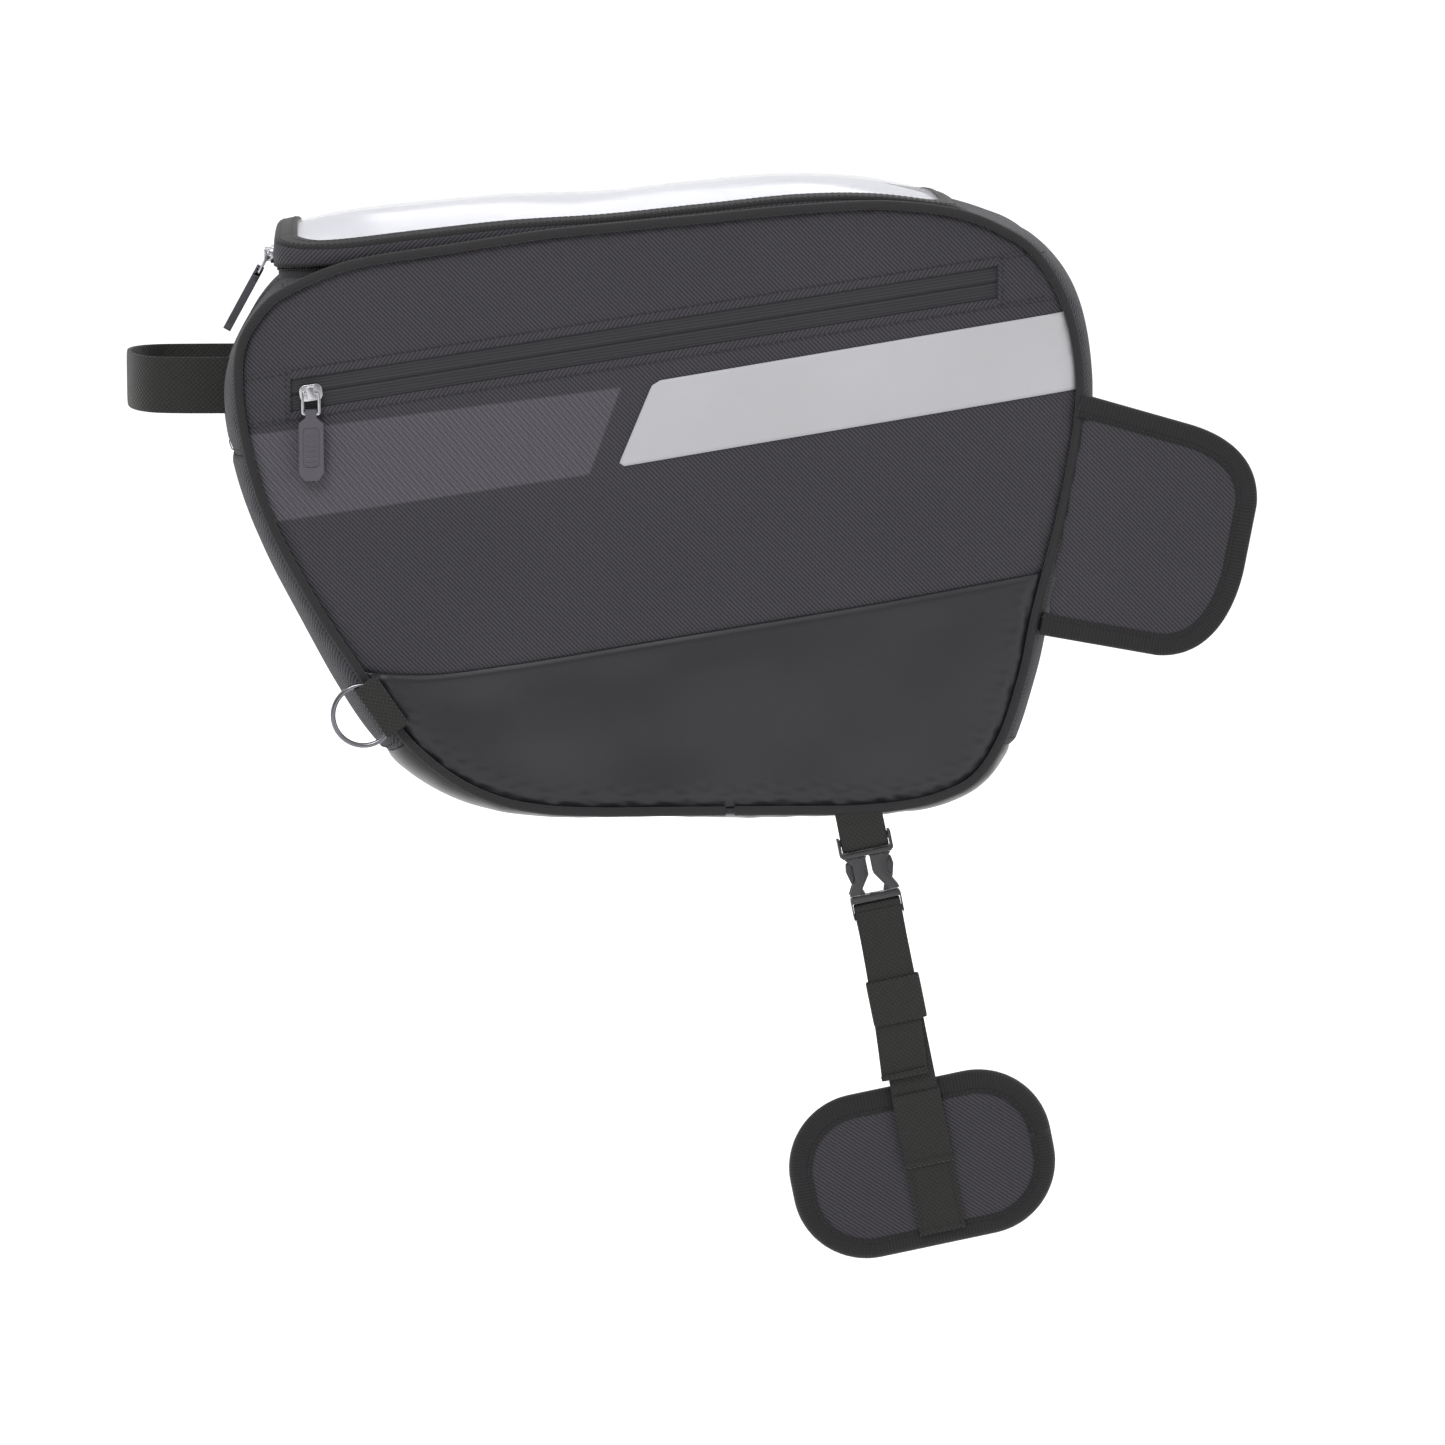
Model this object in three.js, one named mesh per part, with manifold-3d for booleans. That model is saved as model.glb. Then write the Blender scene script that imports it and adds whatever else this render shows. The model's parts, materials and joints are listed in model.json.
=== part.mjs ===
// A soft motorcycle tunnel bag: a hollow fabric shell with piped side panels, a zipped lid with a map window,
// side pockets, a webbing handle, a ring, a padded flap, and a buckled webbing strap with a small pad.
// Millimetres, +Z up, +X towards the seat end. The origin is the centre of the flat underside.
import * as THREE from "three";
import { mergeVertices } from "three/addons/utils/BufferGeometryUtils.js";
import Module from "manifold-3d";

const wasm = await Module();
wasm.setup();

// ---------------------------------------------------------------- driving dimensions
const GAP = 0.3; // between neighbouring pieces
const HALF_WIDTH = 95; // piping centre line, each side of the middle plane
const GUSSET_EDGE = 92; // where the gusset stops, just inside the piping
const PANEL_THICK = 3; // fabric, foam and backing
const PANEL_FACE = 96; // outer face of the side panels
const PIPING_RADIUS = 2.4;
const PANEL_INSET = PIPING_RADIUS + 1.3; // the side panels stop just inside the piping
const PIPING_BUTT = 1.5; // open joint in the piping, under the bag
const LINING_INSET = 7.4; // lining below the outer fabric
const LINING_THICK = 1;
const BOARD = { x: 3, z: 4.5, length: 138, width: 128, thick: 2.2 }; // stiffener in the base

const ZIP_ANGLE = Math.atan(0.157); // the pocket zip climbs towards the seat
const ZIP_MIDDLE = new THREE.Vector3(-22, 0, 260.4); // a point on the zip's centre line
const ZIP_HALF_BAND = 10.3;
const TAPE_FACE = 94.9;
const SLIDER_X = -204;
const LINK_WIRE = 1.4;
const BRIDGE_EYE = 4.1; // from the tape to the middle of the slider's eye
const PULL_DROP = 11; // from the slider's bridge to the grip's eye

const LID_FRONT = -223;
const LID_REAR = 139;
const LID_HALF = 89;
const LID_CORNER = 18;
const LID_FRAME = { front: 12, side: 9, rear: 11 };
const LID_HINGE = { x: 140.5, z: 326.5 };

const WEBBING = 25; // strap webbing width
const WEBBING_THICK = 1.8;
const STRAP_LEAN = (11.5 * Math.PI) / 180; // the strap hangs towards the seat end
const STRAP_ROOT = new THREE.Vector3(85, -HALF_WIDTH, 3.6);
const PAD = { length: 143, height: 91, corner: 40, thick: 10, along: 193, across: -3.5 };
const BINDING = 12; // edge binding width on the flap and the strap pad
const BINDING_CLOTH = 0.5;

// Piping line seen from the side: x, z, and how far the gusset bulges beyond it there.
const OUTLINE = {
  base: [
    [160, 44, 12],
    [146, 24, 11],
    [127, 14.5, 10],
    [106, 10, 8.5],
    [78, 8, 8],
    [52, 8, 8],
    [22, 8, 8],
    [-22, 8, 8],
    [-52, 8, 8],
    [-82, 9.5, 9],
    [-105, 14, 11],
    [-129, 25, 14],
  ],
  frontLower: [
    [-155, 47, 17],
    [-178, 81, 17],
    [-202, 118, 14],
    [-226, 164, 12],
  ],
  frontUpper: [
    [-237, 199, 11],
    [-242, 236, 9],
    [-239.5, 258, 4],
    [-226, 278, 3],
  ],
  top: [
    [-215, 285.5, 3.5],
    [-186, 297.5, 4],
    [-129, 307, 4],
    [-78, 314.5, 4],
    [-37, 318.5, 4],
    [0, 322, 4],
    [53, 327, 4],
    [95, 329, 4],
    [125, 326.5, 3],
  ],
  rear: [
    [141, 323, 3],
    [158, 316, 5],
    [175, 305, 8],
    [192, 279, 11],
    [201, 235, 12],
    [195, 182, 12],
    [178, 110, 12],
    [172, 80, 12],
  ],
};
// Lid edge line: x, z, and how far the lid domes above it in the middle.
const LID_LINE = [
  [-223, 308, 8],
  [-190, 308, 15],
  [-150, 312.5, 15],
  [-100, 318, 14],
  [-50, 321.5, 12],
  [0, 326.5, 12],
  [55, 332, 11],
  [95, 332.5, 8],
  [130, 328.5, 4],
  [139, 326.5, 2.5],
];
// Lower edge of the lid's skirt, where the main zip closes.
const SKIRT_LOW = [
  [-223, 297.5],
  [-190, 299],
  [-129, 307],
  [-78, 313.5],
  [-37, 316.3],
  [0, 320.3],
  [53, 325.2],
  [95, 327],
  [139, 321.5],
];
// Seam between the woven side panel and the coated lower panel.
const COATED_SEAM = [
  [-190, 84],
  [-143, 82.3],
  [-105, 86.6],
  [0, 103.5],
  [101, 120],
  [200, 138],
];

// ---------------------------------------------------------------- materials
const colour = (hex, roughness, metalness = 0) => ({ color: hex, roughness, metalness });
const FINISH = {
  cloth: colour(0x42404a, 0.9),
  coated: colour(0x3b3c40, 0.55),
  piping: colour(0x2d2b2e, 0.8),
  tape: colour(0x3f3e42, 0.85),
  reflective: colour(0xbababd, 0.4),
  binding: colour(0x343336, 0.85),
  webbing: colour(0x363435, 0.9),
  lining: colour(0x55565a, 0.9),
  board: colour(0x202022, 0.6),
  film: colour(0xf4f5fa, 0.15),
  backing: colour(0xeeeef0, 0.7),
  metal: colour(0xb9babd, 0.25, 1),
  grip: colour(0x504f55, 0.6),
  buckle: colour(0x4a4a4e, 0.35),
};

// ---------------------------------------------------------------- solids
function signedVolume(geometry) {
  const p = geometry.attributes.position;
  const [a, b, c] = [new THREE.Vector3(), new THREE.Vector3(), new THREE.Vector3()];
  let sum = 0;
  for (let i = 0; i < geometry.index.count; i += 3) {
    a.fromBufferAttribute(p, geometry.index.getX(i));
    b.fromBufferAttribute(p, geometry.index.getX(i + 1));
    c.fromBufferAttribute(p, geometry.index.getX(i + 2));
    sum += a.dot(b.cross(c));
  }
  return sum / 6;
}

function fromArrays(positions, triangles) {
  const geometry = new THREE.BufferGeometry();
  geometry.setAttribute("position", new THREE.Float32BufferAttribute(positions, 3));
  geometry.setIndex(triangles);
  return geometry;
}

// Position-only geometry with shared vertices and faces that point out.
function clean(geometry) {
  const bare = geometry.clone();
  bare.deleteAttribute("normal");
  bare.deleteAttribute("uv");
  const merged = mergeVertices(bare, 1e-4);
  if (signedVolume(merged) < 0) {
    const index = Array.from(merged.index.array);
    for (let i = 0; i < index.length; i += 3) {
      [index[i + 1], index[i + 2]] = [index[i + 2], index[i + 1]];
    }
    merged.setIndex(index);
  }
  return merged;
}

function solid(geometry) {
  const g = clean(geometry);
  const mesh = new wasm.Mesh({
    numProp: 3,
    vertProperties: new Float32Array(g.attributes.position.array),
    triVerts: new Uint32Array(g.index.array),
  });
  return new wasm.Manifold(mesh);
}

function shapeOf(manifold) {
  const mesh = manifold.getMesh();
  return fromArrays(Array.from(mesh.vertProperties), Array.from(mesh.triVerts));
}

const cut = (first, ...others) => shapeOf(others.reduce((rest, g) => rest.subtract(solid(g)), solid(first)));
const join = (first, ...others) => shapeOf(others.reduce((rest, g) => rest.add(solid(g)), solid(first)));
const common = (first, ...others) => shapeOf(others.reduce((rest, g) => rest.intersect(solid(g)), solid(first)));

// A closed solid between two grids of points, each given as a function of the row and column numbers.
function between(outer, inner, rows, columns) {
  const positions = [];
  const triangles = [];
  for (const surface of [outer, inner]) {
    for (let i = 0; i <= rows; i++) {
      for (let j = 0; j <= columns; j++) positions.push(...surface(i, j).toArray());
    }
  }
  const layer = (rows + 1) * (columns + 1);
  const at = (i, j) => i * (columns + 1) + j;
  const quad = (a, b, c, d) => triangles.push(a, b, c, a, c, d);
  for (let i = 0; i < rows; i++) {
    for (let j = 0; j < columns; j++) {
      quad(at(i, j), at(i + 1, j), at(i + 1, j + 1), at(i, j + 1));
      quad(layer + at(i, j), layer + at(i, j + 1), layer + at(i + 1, j + 1), layer + at(i + 1, j));
    }
    quad(layer + at(i, 0), layer + at(i + 1, 0), at(i + 1, 0), at(i, 0));
    quad(at(i, columns), at(i + 1, columns), layer + at(i + 1, columns), layer + at(i, columns));
  }
  for (let j = 0; j < columns; j++) {
    quad(at(0, j), at(0, j + 1), layer + at(0, j + 1), layer + at(0, j));
    quad(layer + at(rows, j), layer + at(rows, j + 1), at(rows, j + 1), at(rows, j));
  }
  return clean(fromArrays(positions, triangles));
}

// A flat plate in the side view: a shape drawn in x and z, between two y values.
function plate(shape, yLow, yHigh, curveSteps = 8) {
  const depth = yHigh - yLow;
  const geometry = new THREE.ExtrudeGeometry(shape, { depth, bevelEnabled: false, curveSegments: curveSteps });
  geometry.rotateX(Math.PI / 2);
  geometry.translate(0, yHigh, 0);
  return clean(geometry);
}

function polygon(points) {
  return new THREE.Shape(points.map(([x, y]) => new THREE.Vector2(x, y)));
}

function box(sizes, centre) {
  const geometry = new THREE.BoxGeometry(...sizes);
  geometry.translate(...centre);
  return clean(geometry);
}

function roundedRectangle(width, height, radius, x = 0, y = 0) {
  const shape = new THREE.Shape();
  const [w, h] = [width / 2, height / 2];
  shape.moveTo(x - w + radius, y - h);
  shape.lineTo(x + w - radius, y - h);
  shape.absarc(x + w - radius, y - h + radius, radius, -Math.PI / 2, 0);
  shape.lineTo(x + w, y + h - radius);
  shape.absarc(x + w - radius, y + h - radius, radius, 0, Math.PI / 2);
  shape.lineTo(x - w + radius, y + h);
  shape.absarc(x - w + radius, y + h - radius, radius, Math.PI / 2, Math.PI);
  shape.lineTo(x - w, y - h + radius);
  shape.absarc(x - w + radius, y - h + radius, radius, Math.PI, 1.5 * Math.PI);
  return shape;
}

// ---------------------------------------------------------------- the bag's outline and gusset
const outlinePoints = Object.values(OUTLINE).flat();
const outline = new THREE.CatmullRomCurve3(
  outlinePoints.map(([x, z, bulge]) => new THREE.Vector3(x, bulge, z)),
  true,
  "centripetal",
);
const segmentCount = outlinePoints.length;
const sectionStart = {};
let counted = 0;
for (const [name, points] of Object.entries(OUTLINE)) {
  sectionStart[name] = counted;
  counted += points.length;
}

// A point of the outline moved outwards in the side view, with its gusset bulge.
function outlineAt(station, outwards) {
  const t = (((station / segmentCount) % 1) + 1) % 1;
  const point = outline.getPoint(t);
  const tangent = outline.getTangent(t);
  const length = Math.hypot(tangent.x, tangent.z);
  const normal = new THREE.Vector2(-tangent.z / length, tangent.x / length);
  return { x: point.x + normal.x * outwards, z: point.z + normal.y * outwards, bulge: point.y, normal };
}

// The gusset's crowned surface, a distance under its outer face.
function gussetPoint(station, y, under) {
  const base = outlineAt(station, 0);
  const out = base.bulge * Math.sqrt(1 - Math.abs(y / HALF_WIDTH) ** 4) - under;
  return new THREE.Vector3(base.x + base.normal.x * out, y, base.z + base.normal.y * out);
}

const ACROSS = 9; // strips across the gusset: odd, so the middle one is flat
function gussetPiece(from, to, steps, edge, under, thick) {
  const start = from + GAP / 40;
  const end = to - GAP / 40;
  const station = (i) => start + ((end - start) * i) / steps;
  const y = (j) => edge * Math.sin(Math.PI * (j / ACROSS - 0.5));
  return between(
    (i, j) => gussetPoint(station(i), y(j), under),
    (i, j) => gussetPoint(station(i), y(j), under + thick),
    steps,
    ACROSS,
  );
}

// The side panel's shape, drawn a distance inside the piping line.
function sideShape(inset, steps = 64) {
  const points = [];
  for (let i = 0; i < steps; i++) {
    const { x, z } = outlineAt((i * segmentCount) / steps, -inset);
    points.push([x, z]);
  }
  return polygon(points);
}

function piping() {
  const gapStations = PIPING_BUTT / 44;
  const start = sectionStart.base + 6.2;
  const steps = 64;
  const points = [];
  for (let i = 0; i <= steps; i++) {
    const station = start + gapStations + ((segmentCount - 2 * gapStations) * i) / steps;
    const { x, z } = outlineAt(station, 0);
    points.push(new THREE.Vector3(x, -HALF_WIDTH, z));
  }
  const section = new THREE.Shape();
  section.absarc(0, 0, PIPING_RADIUS, 0, 2 * Math.PI);
  const extrudePath = new THREE.CatmullRomCurve3(points);
  return clean(new THREE.ExtrudeGeometry(section, { steps, extrudePath, curveSegments: 4 }));
}

// ---------------------------------------------------------------- side panels and pocket
// Everything on one side wall is drawn on the near side, at negative y, and mirrored for the other.
function zipBand(half, from = -400, to = 400) {
  const band = new THREE.BoxGeometry(to - from, 60, 2 * half);
  band.translate((from + to) / 2, 0, 0);
  band.rotateY(-ZIP_ANGLE);
  band.translate(ZIP_MIDDLE.x, -HALF_WIDTH, ZIP_MIDDLE.z);
  return clean(band);
}

function aboveZip() {
  const block = new THREE.BoxGeometry(900, 60, 400);
  block.translate(0, 0, 200);
  block.rotateY(-ZIP_ANGLE);
  block.translate(ZIP_MIDDLE.x, -HALF_WIDTH, ZIP_MIDDLE.z);
  return clean(block);
}

function belowSeam(offset) {
  const curve = new THREE.SplineCurve(COATED_SEAM.map(([x, z]) => new THREE.Vector2(x, z + offset)));
  const edge = curve.getPoints(20).map((p) => [p.x, p.y]);
  return plate(polygon([...edge, [400, edge.at(-1)[1]], [400, -60], [-400, -60], [-400, edge[0][1]]]), -120, -80);
}

function sidePanels() {
  const whole = plate(sideShape(PANEL_INSET), -PANEL_FACE, -PANEL_FACE + PANEL_THICK);
  const upper = aboveZip();
  const band = zipBand(ZIP_HALF_BAND);
  return {
    side_top: cut(common(whole, upper), band),
    side_middle: cut(whole, upper, band, belowSeam(GAP / 2)),
    side_lower: common(whole, belowSeam(-GAP / 2)),
  };
}

function pocketTape() {
  const slab = plate(sideShape(PANEL_INSET), -TAPE_FACE, -TAPE_FACE + 1.4);
  return common(slab, zipBand(ZIP_HALF_BAND - GAP));
}

function zipPatch(from, to) {
  const slab = plate(sideShape(PANEL_INSET), -PANEL_FACE - 1.2, -PANEL_FACE - GAP);
  return common(slab, zipBand(ZIP_HALF_BAND + 3.5, from, to));
}

function reflectiveStrip() {
  const slab = plate(sideShape(PANEL_INSET), -PANEL_FACE - 1, -PANEL_FACE - GAP);
  const strip = new THREE.Shape();
  strip.moveTo(-20, 238.2);
  strip.quadraticCurveTo(-25, 237.4, -26.6, 233);
  strip.lineTo(-43, 198.5);
  strip.quadraticCurveTo(-45, 194, -40, 194.4);
  strip.lineTo(210, 235.6);
  strip.lineTo(210, 276.2);
  return common(slab, plate(strip, -120, -80, 4));
}

// A slider body with a bridge over a 3 mm eye, drawn on a tape that faces -Y, zip direction along X.
function slider() {
  const body = plate(roundedRectangle(12, 8.6, 3), -2.9, -GAP, 3);
  const bridge = box([4, 3.8, 6.6], [0, -4.5, 0]);
  const eye = box([8, 2.4, 3.6], [0, -BRIDGE_EYE, 0]);
  return cut(join(body, bridge), eye);
}

// A wire link: its top bar lies in the bridge's eye, its lower bar in the grip's eye.
function link() {
  const frame = roundedRectangle(10, PULL_DROP + LINK_WIRE, 1.6, 0, -PULL_DROP / 2);
  frame.holes.push(roundedRectangle(7.2, PULL_DROP - LINK_WIRE, 0.8, 0, -PULL_DROP / 2));
  return plate(frame, -LINK_WIRE / 2, LINK_WIRE / 2, 2);
}

// A moulded grip with a sunk face; its eye is at the origin and it hangs down.
function grip() {
  const bodyShape = new THREE.Shape();
  bodyShape.moveTo(-3, 2.4);
  bodyShape.lineTo(3, 2.4);
  bodyShape.lineTo(3, -2);
  bodyShape.lineTo(6.5, -5);
  bodyShape.lineTo(6.5, -31);
  bodyShape.lineTo(3.6, -35);
  bodyShape.lineTo(-3.6, -35);
  bodyShape.lineTo(-6.5, -31);
  bodyShape.lineTo(-6.5, -5);
  bodyShape.lineTo(-3, -2);
  const body = plate(bodyShape, -2.7, 1.5);
  const sunkFace = plate(roundedRectangle(8.6, 21, 2, 0, -17.5), -4, -2, 3);
  const eye = box([20, 2.3, 2.6], [0, 0, 0]);
  return cut(body, sunkFace, eye);
}

// ---------------------------------------------------------------- lid
const lidLine = new THREE.CatmullRomCurve3(LID_LINE.map(([x, z, dome]) => new THREE.Vector3(x, dome, z)));
const skirtLine = new THREE.CatmullRomCurve3(SKIRT_LOW.map(([x, z]) => new THREE.Vector3(x, 0, z)));

// The height of a curve that only runs forwards in x.
function curveAt(curve, x) {
  let [low, high] = [0, 1];
  for (let i = 0; i < 24; i++) {
    const middle = (low + high) / 2;
    if (curve.getPoint(middle).x < x) low = middle;
    else high = middle;
  }
  return curve.getPoint(low);
}

function lidTop(x, y) {
  const line = curveAt(lidLine, x);
  return line.z + line.y * (1 - Math.min(1, Math.abs(y / LID_HALF)) ** 2.4);
}

function lidLayer(top, bottom) {
  const [rows, columns] = [15, 8];
  const x = (i) => LID_FRONT - 1 + ((LID_REAR - LID_FRONT + 2) * i) / rows;
  const y = (j) => (LID_HALF + 1) * ((2 * j) / columns - 1);
  return between(
    (i, j) => new THREE.Vector3(x(i), y(j), lidTop(x(i), y(j)) - top),
    (i, j) => new THREE.Vector3(x(i), y(j), lidTop(x(i), y(j)) - bottom),
    rows,
    columns,
  );
}

// An upright prism over the lid's plan, inset from its edges.
function lidPrism(front, side, rear, corner) {
  const width = LID_REAR - rear - LID_FRONT - front;
  const middle = (LID_REAR - rear + LID_FRONT + front) / 2;
  const plan = roundedRectangle(width, 2 * (LID_HALF - side), corner, middle, 0);
  const prism = new THREE.ExtrudeGeometry(plan, { depth: 160, bevelEnabled: false, curveSegments: 3 });
  prism.translate(0, 0, 240);
  return clean(prism);
}

// Points round three sides of the lid, from the near rear corner by the front to the far rear corner.
function lidPath(inset) {
  const half = LID_HALF - inset;
  const radius = LID_CORNER - inset;
  const front = LID_FRONT + inset;
  const path = [];
  const sideSteps = 9;
  const cornerSteps = 4;
  for (let i = 0; i < sideSteps; i++) {
    path.push([LID_REAR + ((front + radius - LID_REAR) * i) / sideSteps, -half]);
  }
  for (let i = 0; i < cornerSteps; i++) {
    const a = (Math.PI / 2) * (i / cornerSteps);
    path.push([front + radius - radius * Math.sin(a), -half + radius - radius * Math.cos(a)]);
  }
  const near = path.slice();
  path.push([front, -half + radius]);
  path.push([front, -half / 4]);
  path.push([front, half / 4]);
  path.push([front, half - radius]);
  return [...path, ...near.reverse().map(([x, y]) => [x, -y])];
}

function lidWall(inset, thick, low, high) {
  const outer = lidPath(inset);
  const inner = lidPath(inset + thick);
  const point = (path) => (i, j) => {
    const [x, y] = path[i];
    return new THREE.Vector3(x, y, j === 0 ? low(x, y) : high(x, y));
  };
  return between(point(outer), point(inner), outer.length - 1, 1);
}

const skirtLow = (x) => curveAt(skirtLine, x).z;

function lidPieces() {
  const frameHole = lidPrism(LID_FRAME.front, LID_FRAME.side, LID_FRAME.rear, 12);
  const pane = lidPrism(LID_FRAME.front + GAP, LID_FRAME.side + GAP, LID_FRAME.rear + GAP, 12);
  return {
    lid_frame: cut(common(lidLayer(0, 2.4), lidPrism(0, 0, 0, LID_CORNER)), frameHole),
    map_window: common(lidLayer(0.5, 1.3), pane),
    map_backing: common(lidLayer(3.2, 4.2), lidPrism(8, 7, 7, 12)),
    lid_panel: common(lidLayer(5, 7.6), lidPrism(4.5, 4.5, 3, 13)),
    lid_skirt: lidWall(0, 1.6, skirtLow, (x, y) => lidTop(x, y) - 2.8),
    lid_zip_tape: lidWall(2.2, 1.1, (x) => skirtLow(x) - 1.5, (x, y) => lidTop(x, y) - 3.4),
  };
}

const bodyZipTape = () => lidWall(2.2, 1.1, (x) => skirtLow(x) - 7.6, (x) => skirtLow(x) - 2);

// ---------------------------------------------------------------- handle, ring and flap
const HANDLE = { root: -253, front: -303.5, halfSpan: 50, middleZ: 232, halfHeight: 15, thick: 2.6 };

// The handle's plan: out from the gusset, round a bowed front and back.
function handlePath(inset) {
  const points = [
    [HANDLE.root, -HANDLE.halfSpan],
    [-275, -HANDLE.halfSpan + 1],
    [-289, -HANDLE.halfSpan + 5],
    [-298, -33],
    [HANDLE.front, 0],
  ];
  const mirrored = points.slice(0, -1).reverse().map(([x, y]) => [x, -y]);
  const curve = new THREE.SplineCurve([...points, ...mirrored].map(([x, y]) => new THREE.Vector2(x, y)));
  const steps = 26;
  return Array.from({ length: steps + 1 }, (_, i) => {
    const p = curve.getPointAt(i / steps);
    const t = curve.getTangentAt(i / steps);
    return [p.x + t.y * inset, p.y - t.x * inset];
  });
}

// Both ends taper to the hinge line so that the loop can tip up and down.
function handle() {
  const outer = handlePath(0);
  const inner = handlePath(-HANDLE.thick);
  const last = outer.length - 1;
  const height = (i) => (i === 0 || i === last ? 1.5 : i === 1 || i === last - 1 ? 9.5 : HANDLE.halfHeight);
  const point = (path) => (i, j) => {
    const [x, y] = path[i];
    return new THREE.Vector3(x, y, HANDLE.middleZ + height(i) * (j - 1));
  };
  return between(point(outer), point(inner), last, 2);
}

const RING = { x: -178, z: 61.5, radius: 16, wire: 1.25, y: -100.6 };

function torus(tube) {
  const ring = new THREE.TorusGeometry(RING.radius, tube, 8, 28);
  ring.rotateX(Math.PI / 2);
  ring.translate(RING.x, RING.y, RING.z);
  return clean(ring);
}

// A flat webbing sleeve sewn over the seam, with the ring's channel through it.
function ringTab() {
  const sleeve = plate(roundedRectangle(31, 13, 2), RING.y - 2.6, RING.y + 2.6, 3);
  sleeve.rotateY(Math.atan2(34, 23));
  sleeve.translate(-168.5, 0, 66);
  return cut(sleeve, torus(RING.wire + GAP + 0.1));
}

// The flap's shape; the margin moves every edge but the sewn one inwards.
function flapShape(margin) {
  const m = margin;
  const shape = new THREE.Shape();
  shape.moveTo(206.5 - 0.18 * m, 228 - m);
  shape.lineTo(258, 213.5 - m);
  shape.bezierCurveTo(283 - 0.8 * m, 206.5 - m, 297 - m, 192 - 0.5 * m, 295.5 - m, 170);
  shape.lineTo(289 - m, 135);
  shape.bezierCurveTo(283 - m, 108 + 0.5 * m, 268 - 0.6 * m, 88 + m, 243, 90 + m);
  shape.lineTo(184 + 0.18 * m, 100.5 + m);
  return shape;
}

// A pad and the folded binding round its edge, centred on a y value.
function boundPad(shapeAt, middleY, thick) {
  const half = thick / 2;
  const cloth = half + GAP + BINDING_CLOTH;
  const pad = plate(shapeAt(BINDING_CLOTH + GAP), middleY - half, middleY + half, 6);
  const sleeve = plate(shapeAt(BINDING_CLOTH), middleY - half - GAP, middleY + half + GAP, 6);
  const outer = plate(shapeAt(0), middleY - cloth, middleY + cloth, 6);
  const opening = plate(shapeAt(BINDING), middleY - 40, middleY + 40, 6);
  return { pad, binding: cut(outer, sleeve, opening) };
}

// ---------------------------------------------------------------- strap
// The strap is drawn hanging straight down from its root: z is minus the distance along it.
const span = (from, to, width, yLow, yHigh, x = 0) =>
  box([width, yHigh - yLow, to - from], [x, (yLow + yHigh) / 2, -(from + to) / 2]);

// A stretch of webbing that ends in a sewn loop round a bar.
function loopedWebbing(stemFrom, stemTo, loopFrom, loopTo) {
  const half = WEBBING_THICK / 2;
  const stem = span(stemFrom, stemTo, WEBBING, -half, half);
  const loop = span(loopFrom, loopTo, WEBBING, -4.2, 4.2);
  const eye = span(loopFrom + WEBBING_THICK, loopTo - WEBBING_THICK, WEBBING + 4, -2.4, 2.4);
  return cut(join(stem, loop), eye);
}

const SOCKET = { top: 9, bottom: 40, half: 14.5, mouth: 20, reveal: 0.3 };

// The socket's outline and thickness, cut for the webbing bar and for the prongs.
function socketBody() {
  const face = polygon([
    [-SOCKET.half, -SOCKET.top],
    [SOCKET.half, -SOCKET.top],
    [SOCKET.half, -18],
    [9, -24],
    [9, -31],
    [13.8, -SOCKET.bottom],
    [-13.8, -SOCKET.bottom],
    [-9, -31],
    [-9, -24],
    [-SOCKET.half, -18],
  ]);
  const body = plate(face, -4.4, 4.4);
  const cavity = span(SOCKET.mouth, 60, 60, -2.7, 2.7);
  const webbingSlot = span(13, 17.4, WEBBING + 1, -10, 10);
  const aboveBar = span(0, 9.7, WEBBING + 1, -10, 10);
  const frontOfBar = span(0, 17.4, WEBBING + 1, -10, -2);
  const behindBar = span(0, 17.4, WEBBING + 1, 2, 10);
  return cut(body, cavity, webbingSlot, aboveBar, frontOfBar, behindBar);
}

function socketFrame() {
  return common(socketBody(), span(0, SOCKET.mouth - SOCKET.reveal, 60, -10, 10));
}

// One of the two plates that the prongs slide between.
function socketPlate(yLow, yHigh) {
  return common(socketBody(), span(SOCKET.mouth, 60, 60, yLow, yHigh));
}

const PLUG = { shoulder: 41, end: 54.4, half: 13.6, prongRoot: 6.5 };
// The bar that the webbing turns on: narrow enough for the loop to swing round it.
const BAR = { top: 50.2, bottom: 53.2, half: 1.7 };

function bucklePlug() {
  const frame = plate(roundedRectangle(2 * PLUG.half, PLUG.end - PLUG.shoulder, 2, 0, -47.7), -3.4, 3.4, 3);
  const guide = span(24, 42, 5, -2.3, 2.3);
  const slot = span(44.6, BAR.top, WEBBING + 0.8, -10, 10);
  const frontOfBar = span(44.6, 60, WEBBING + 0.8, -10, -BAR.half);
  const behindBar = span(44.6, 60, WEBBING + 0.8, BAR.half, 10);
  const belowBar = span(BAR.bottom, 60, WEBBING + 0.8, -10, 10);
  return cut(join(frame, guide), slot, frontOfBar, behindBar, belowBar);
}

// One sprung arm of the plug, on the positive x side.
function plugProng() {
  const arm = polygon([
    [PLUG.prongRoot - 1.8, -40.6],
    [PLUG.prongRoot + 1.8, -40.6],
    [11.5, -33],
    [13, -27],
    [12.4, -23],
    [9.2, -21],
    [7.6, -24],
    [8.6, -30],
    [7, -34],
  ]);
  return plate(arm, -2.3, 2.3);
}

function strapKeeper() {
  return cut(span(88, 112, WEBBING + 4, -4.6, 2.2), span(80, 120, WEBBING + 1, -3.4, 1.2));
}

function strapWebbing() {
  const fold = loopedWebbing(55, 143.8, 47.4, 56.5);
  const tail = span(55.5, 141, WEBBING, -3, -1.2);
  return join(fold, tail, span(55.5, 58, WEBBING, -4.2, 0));
}

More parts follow.
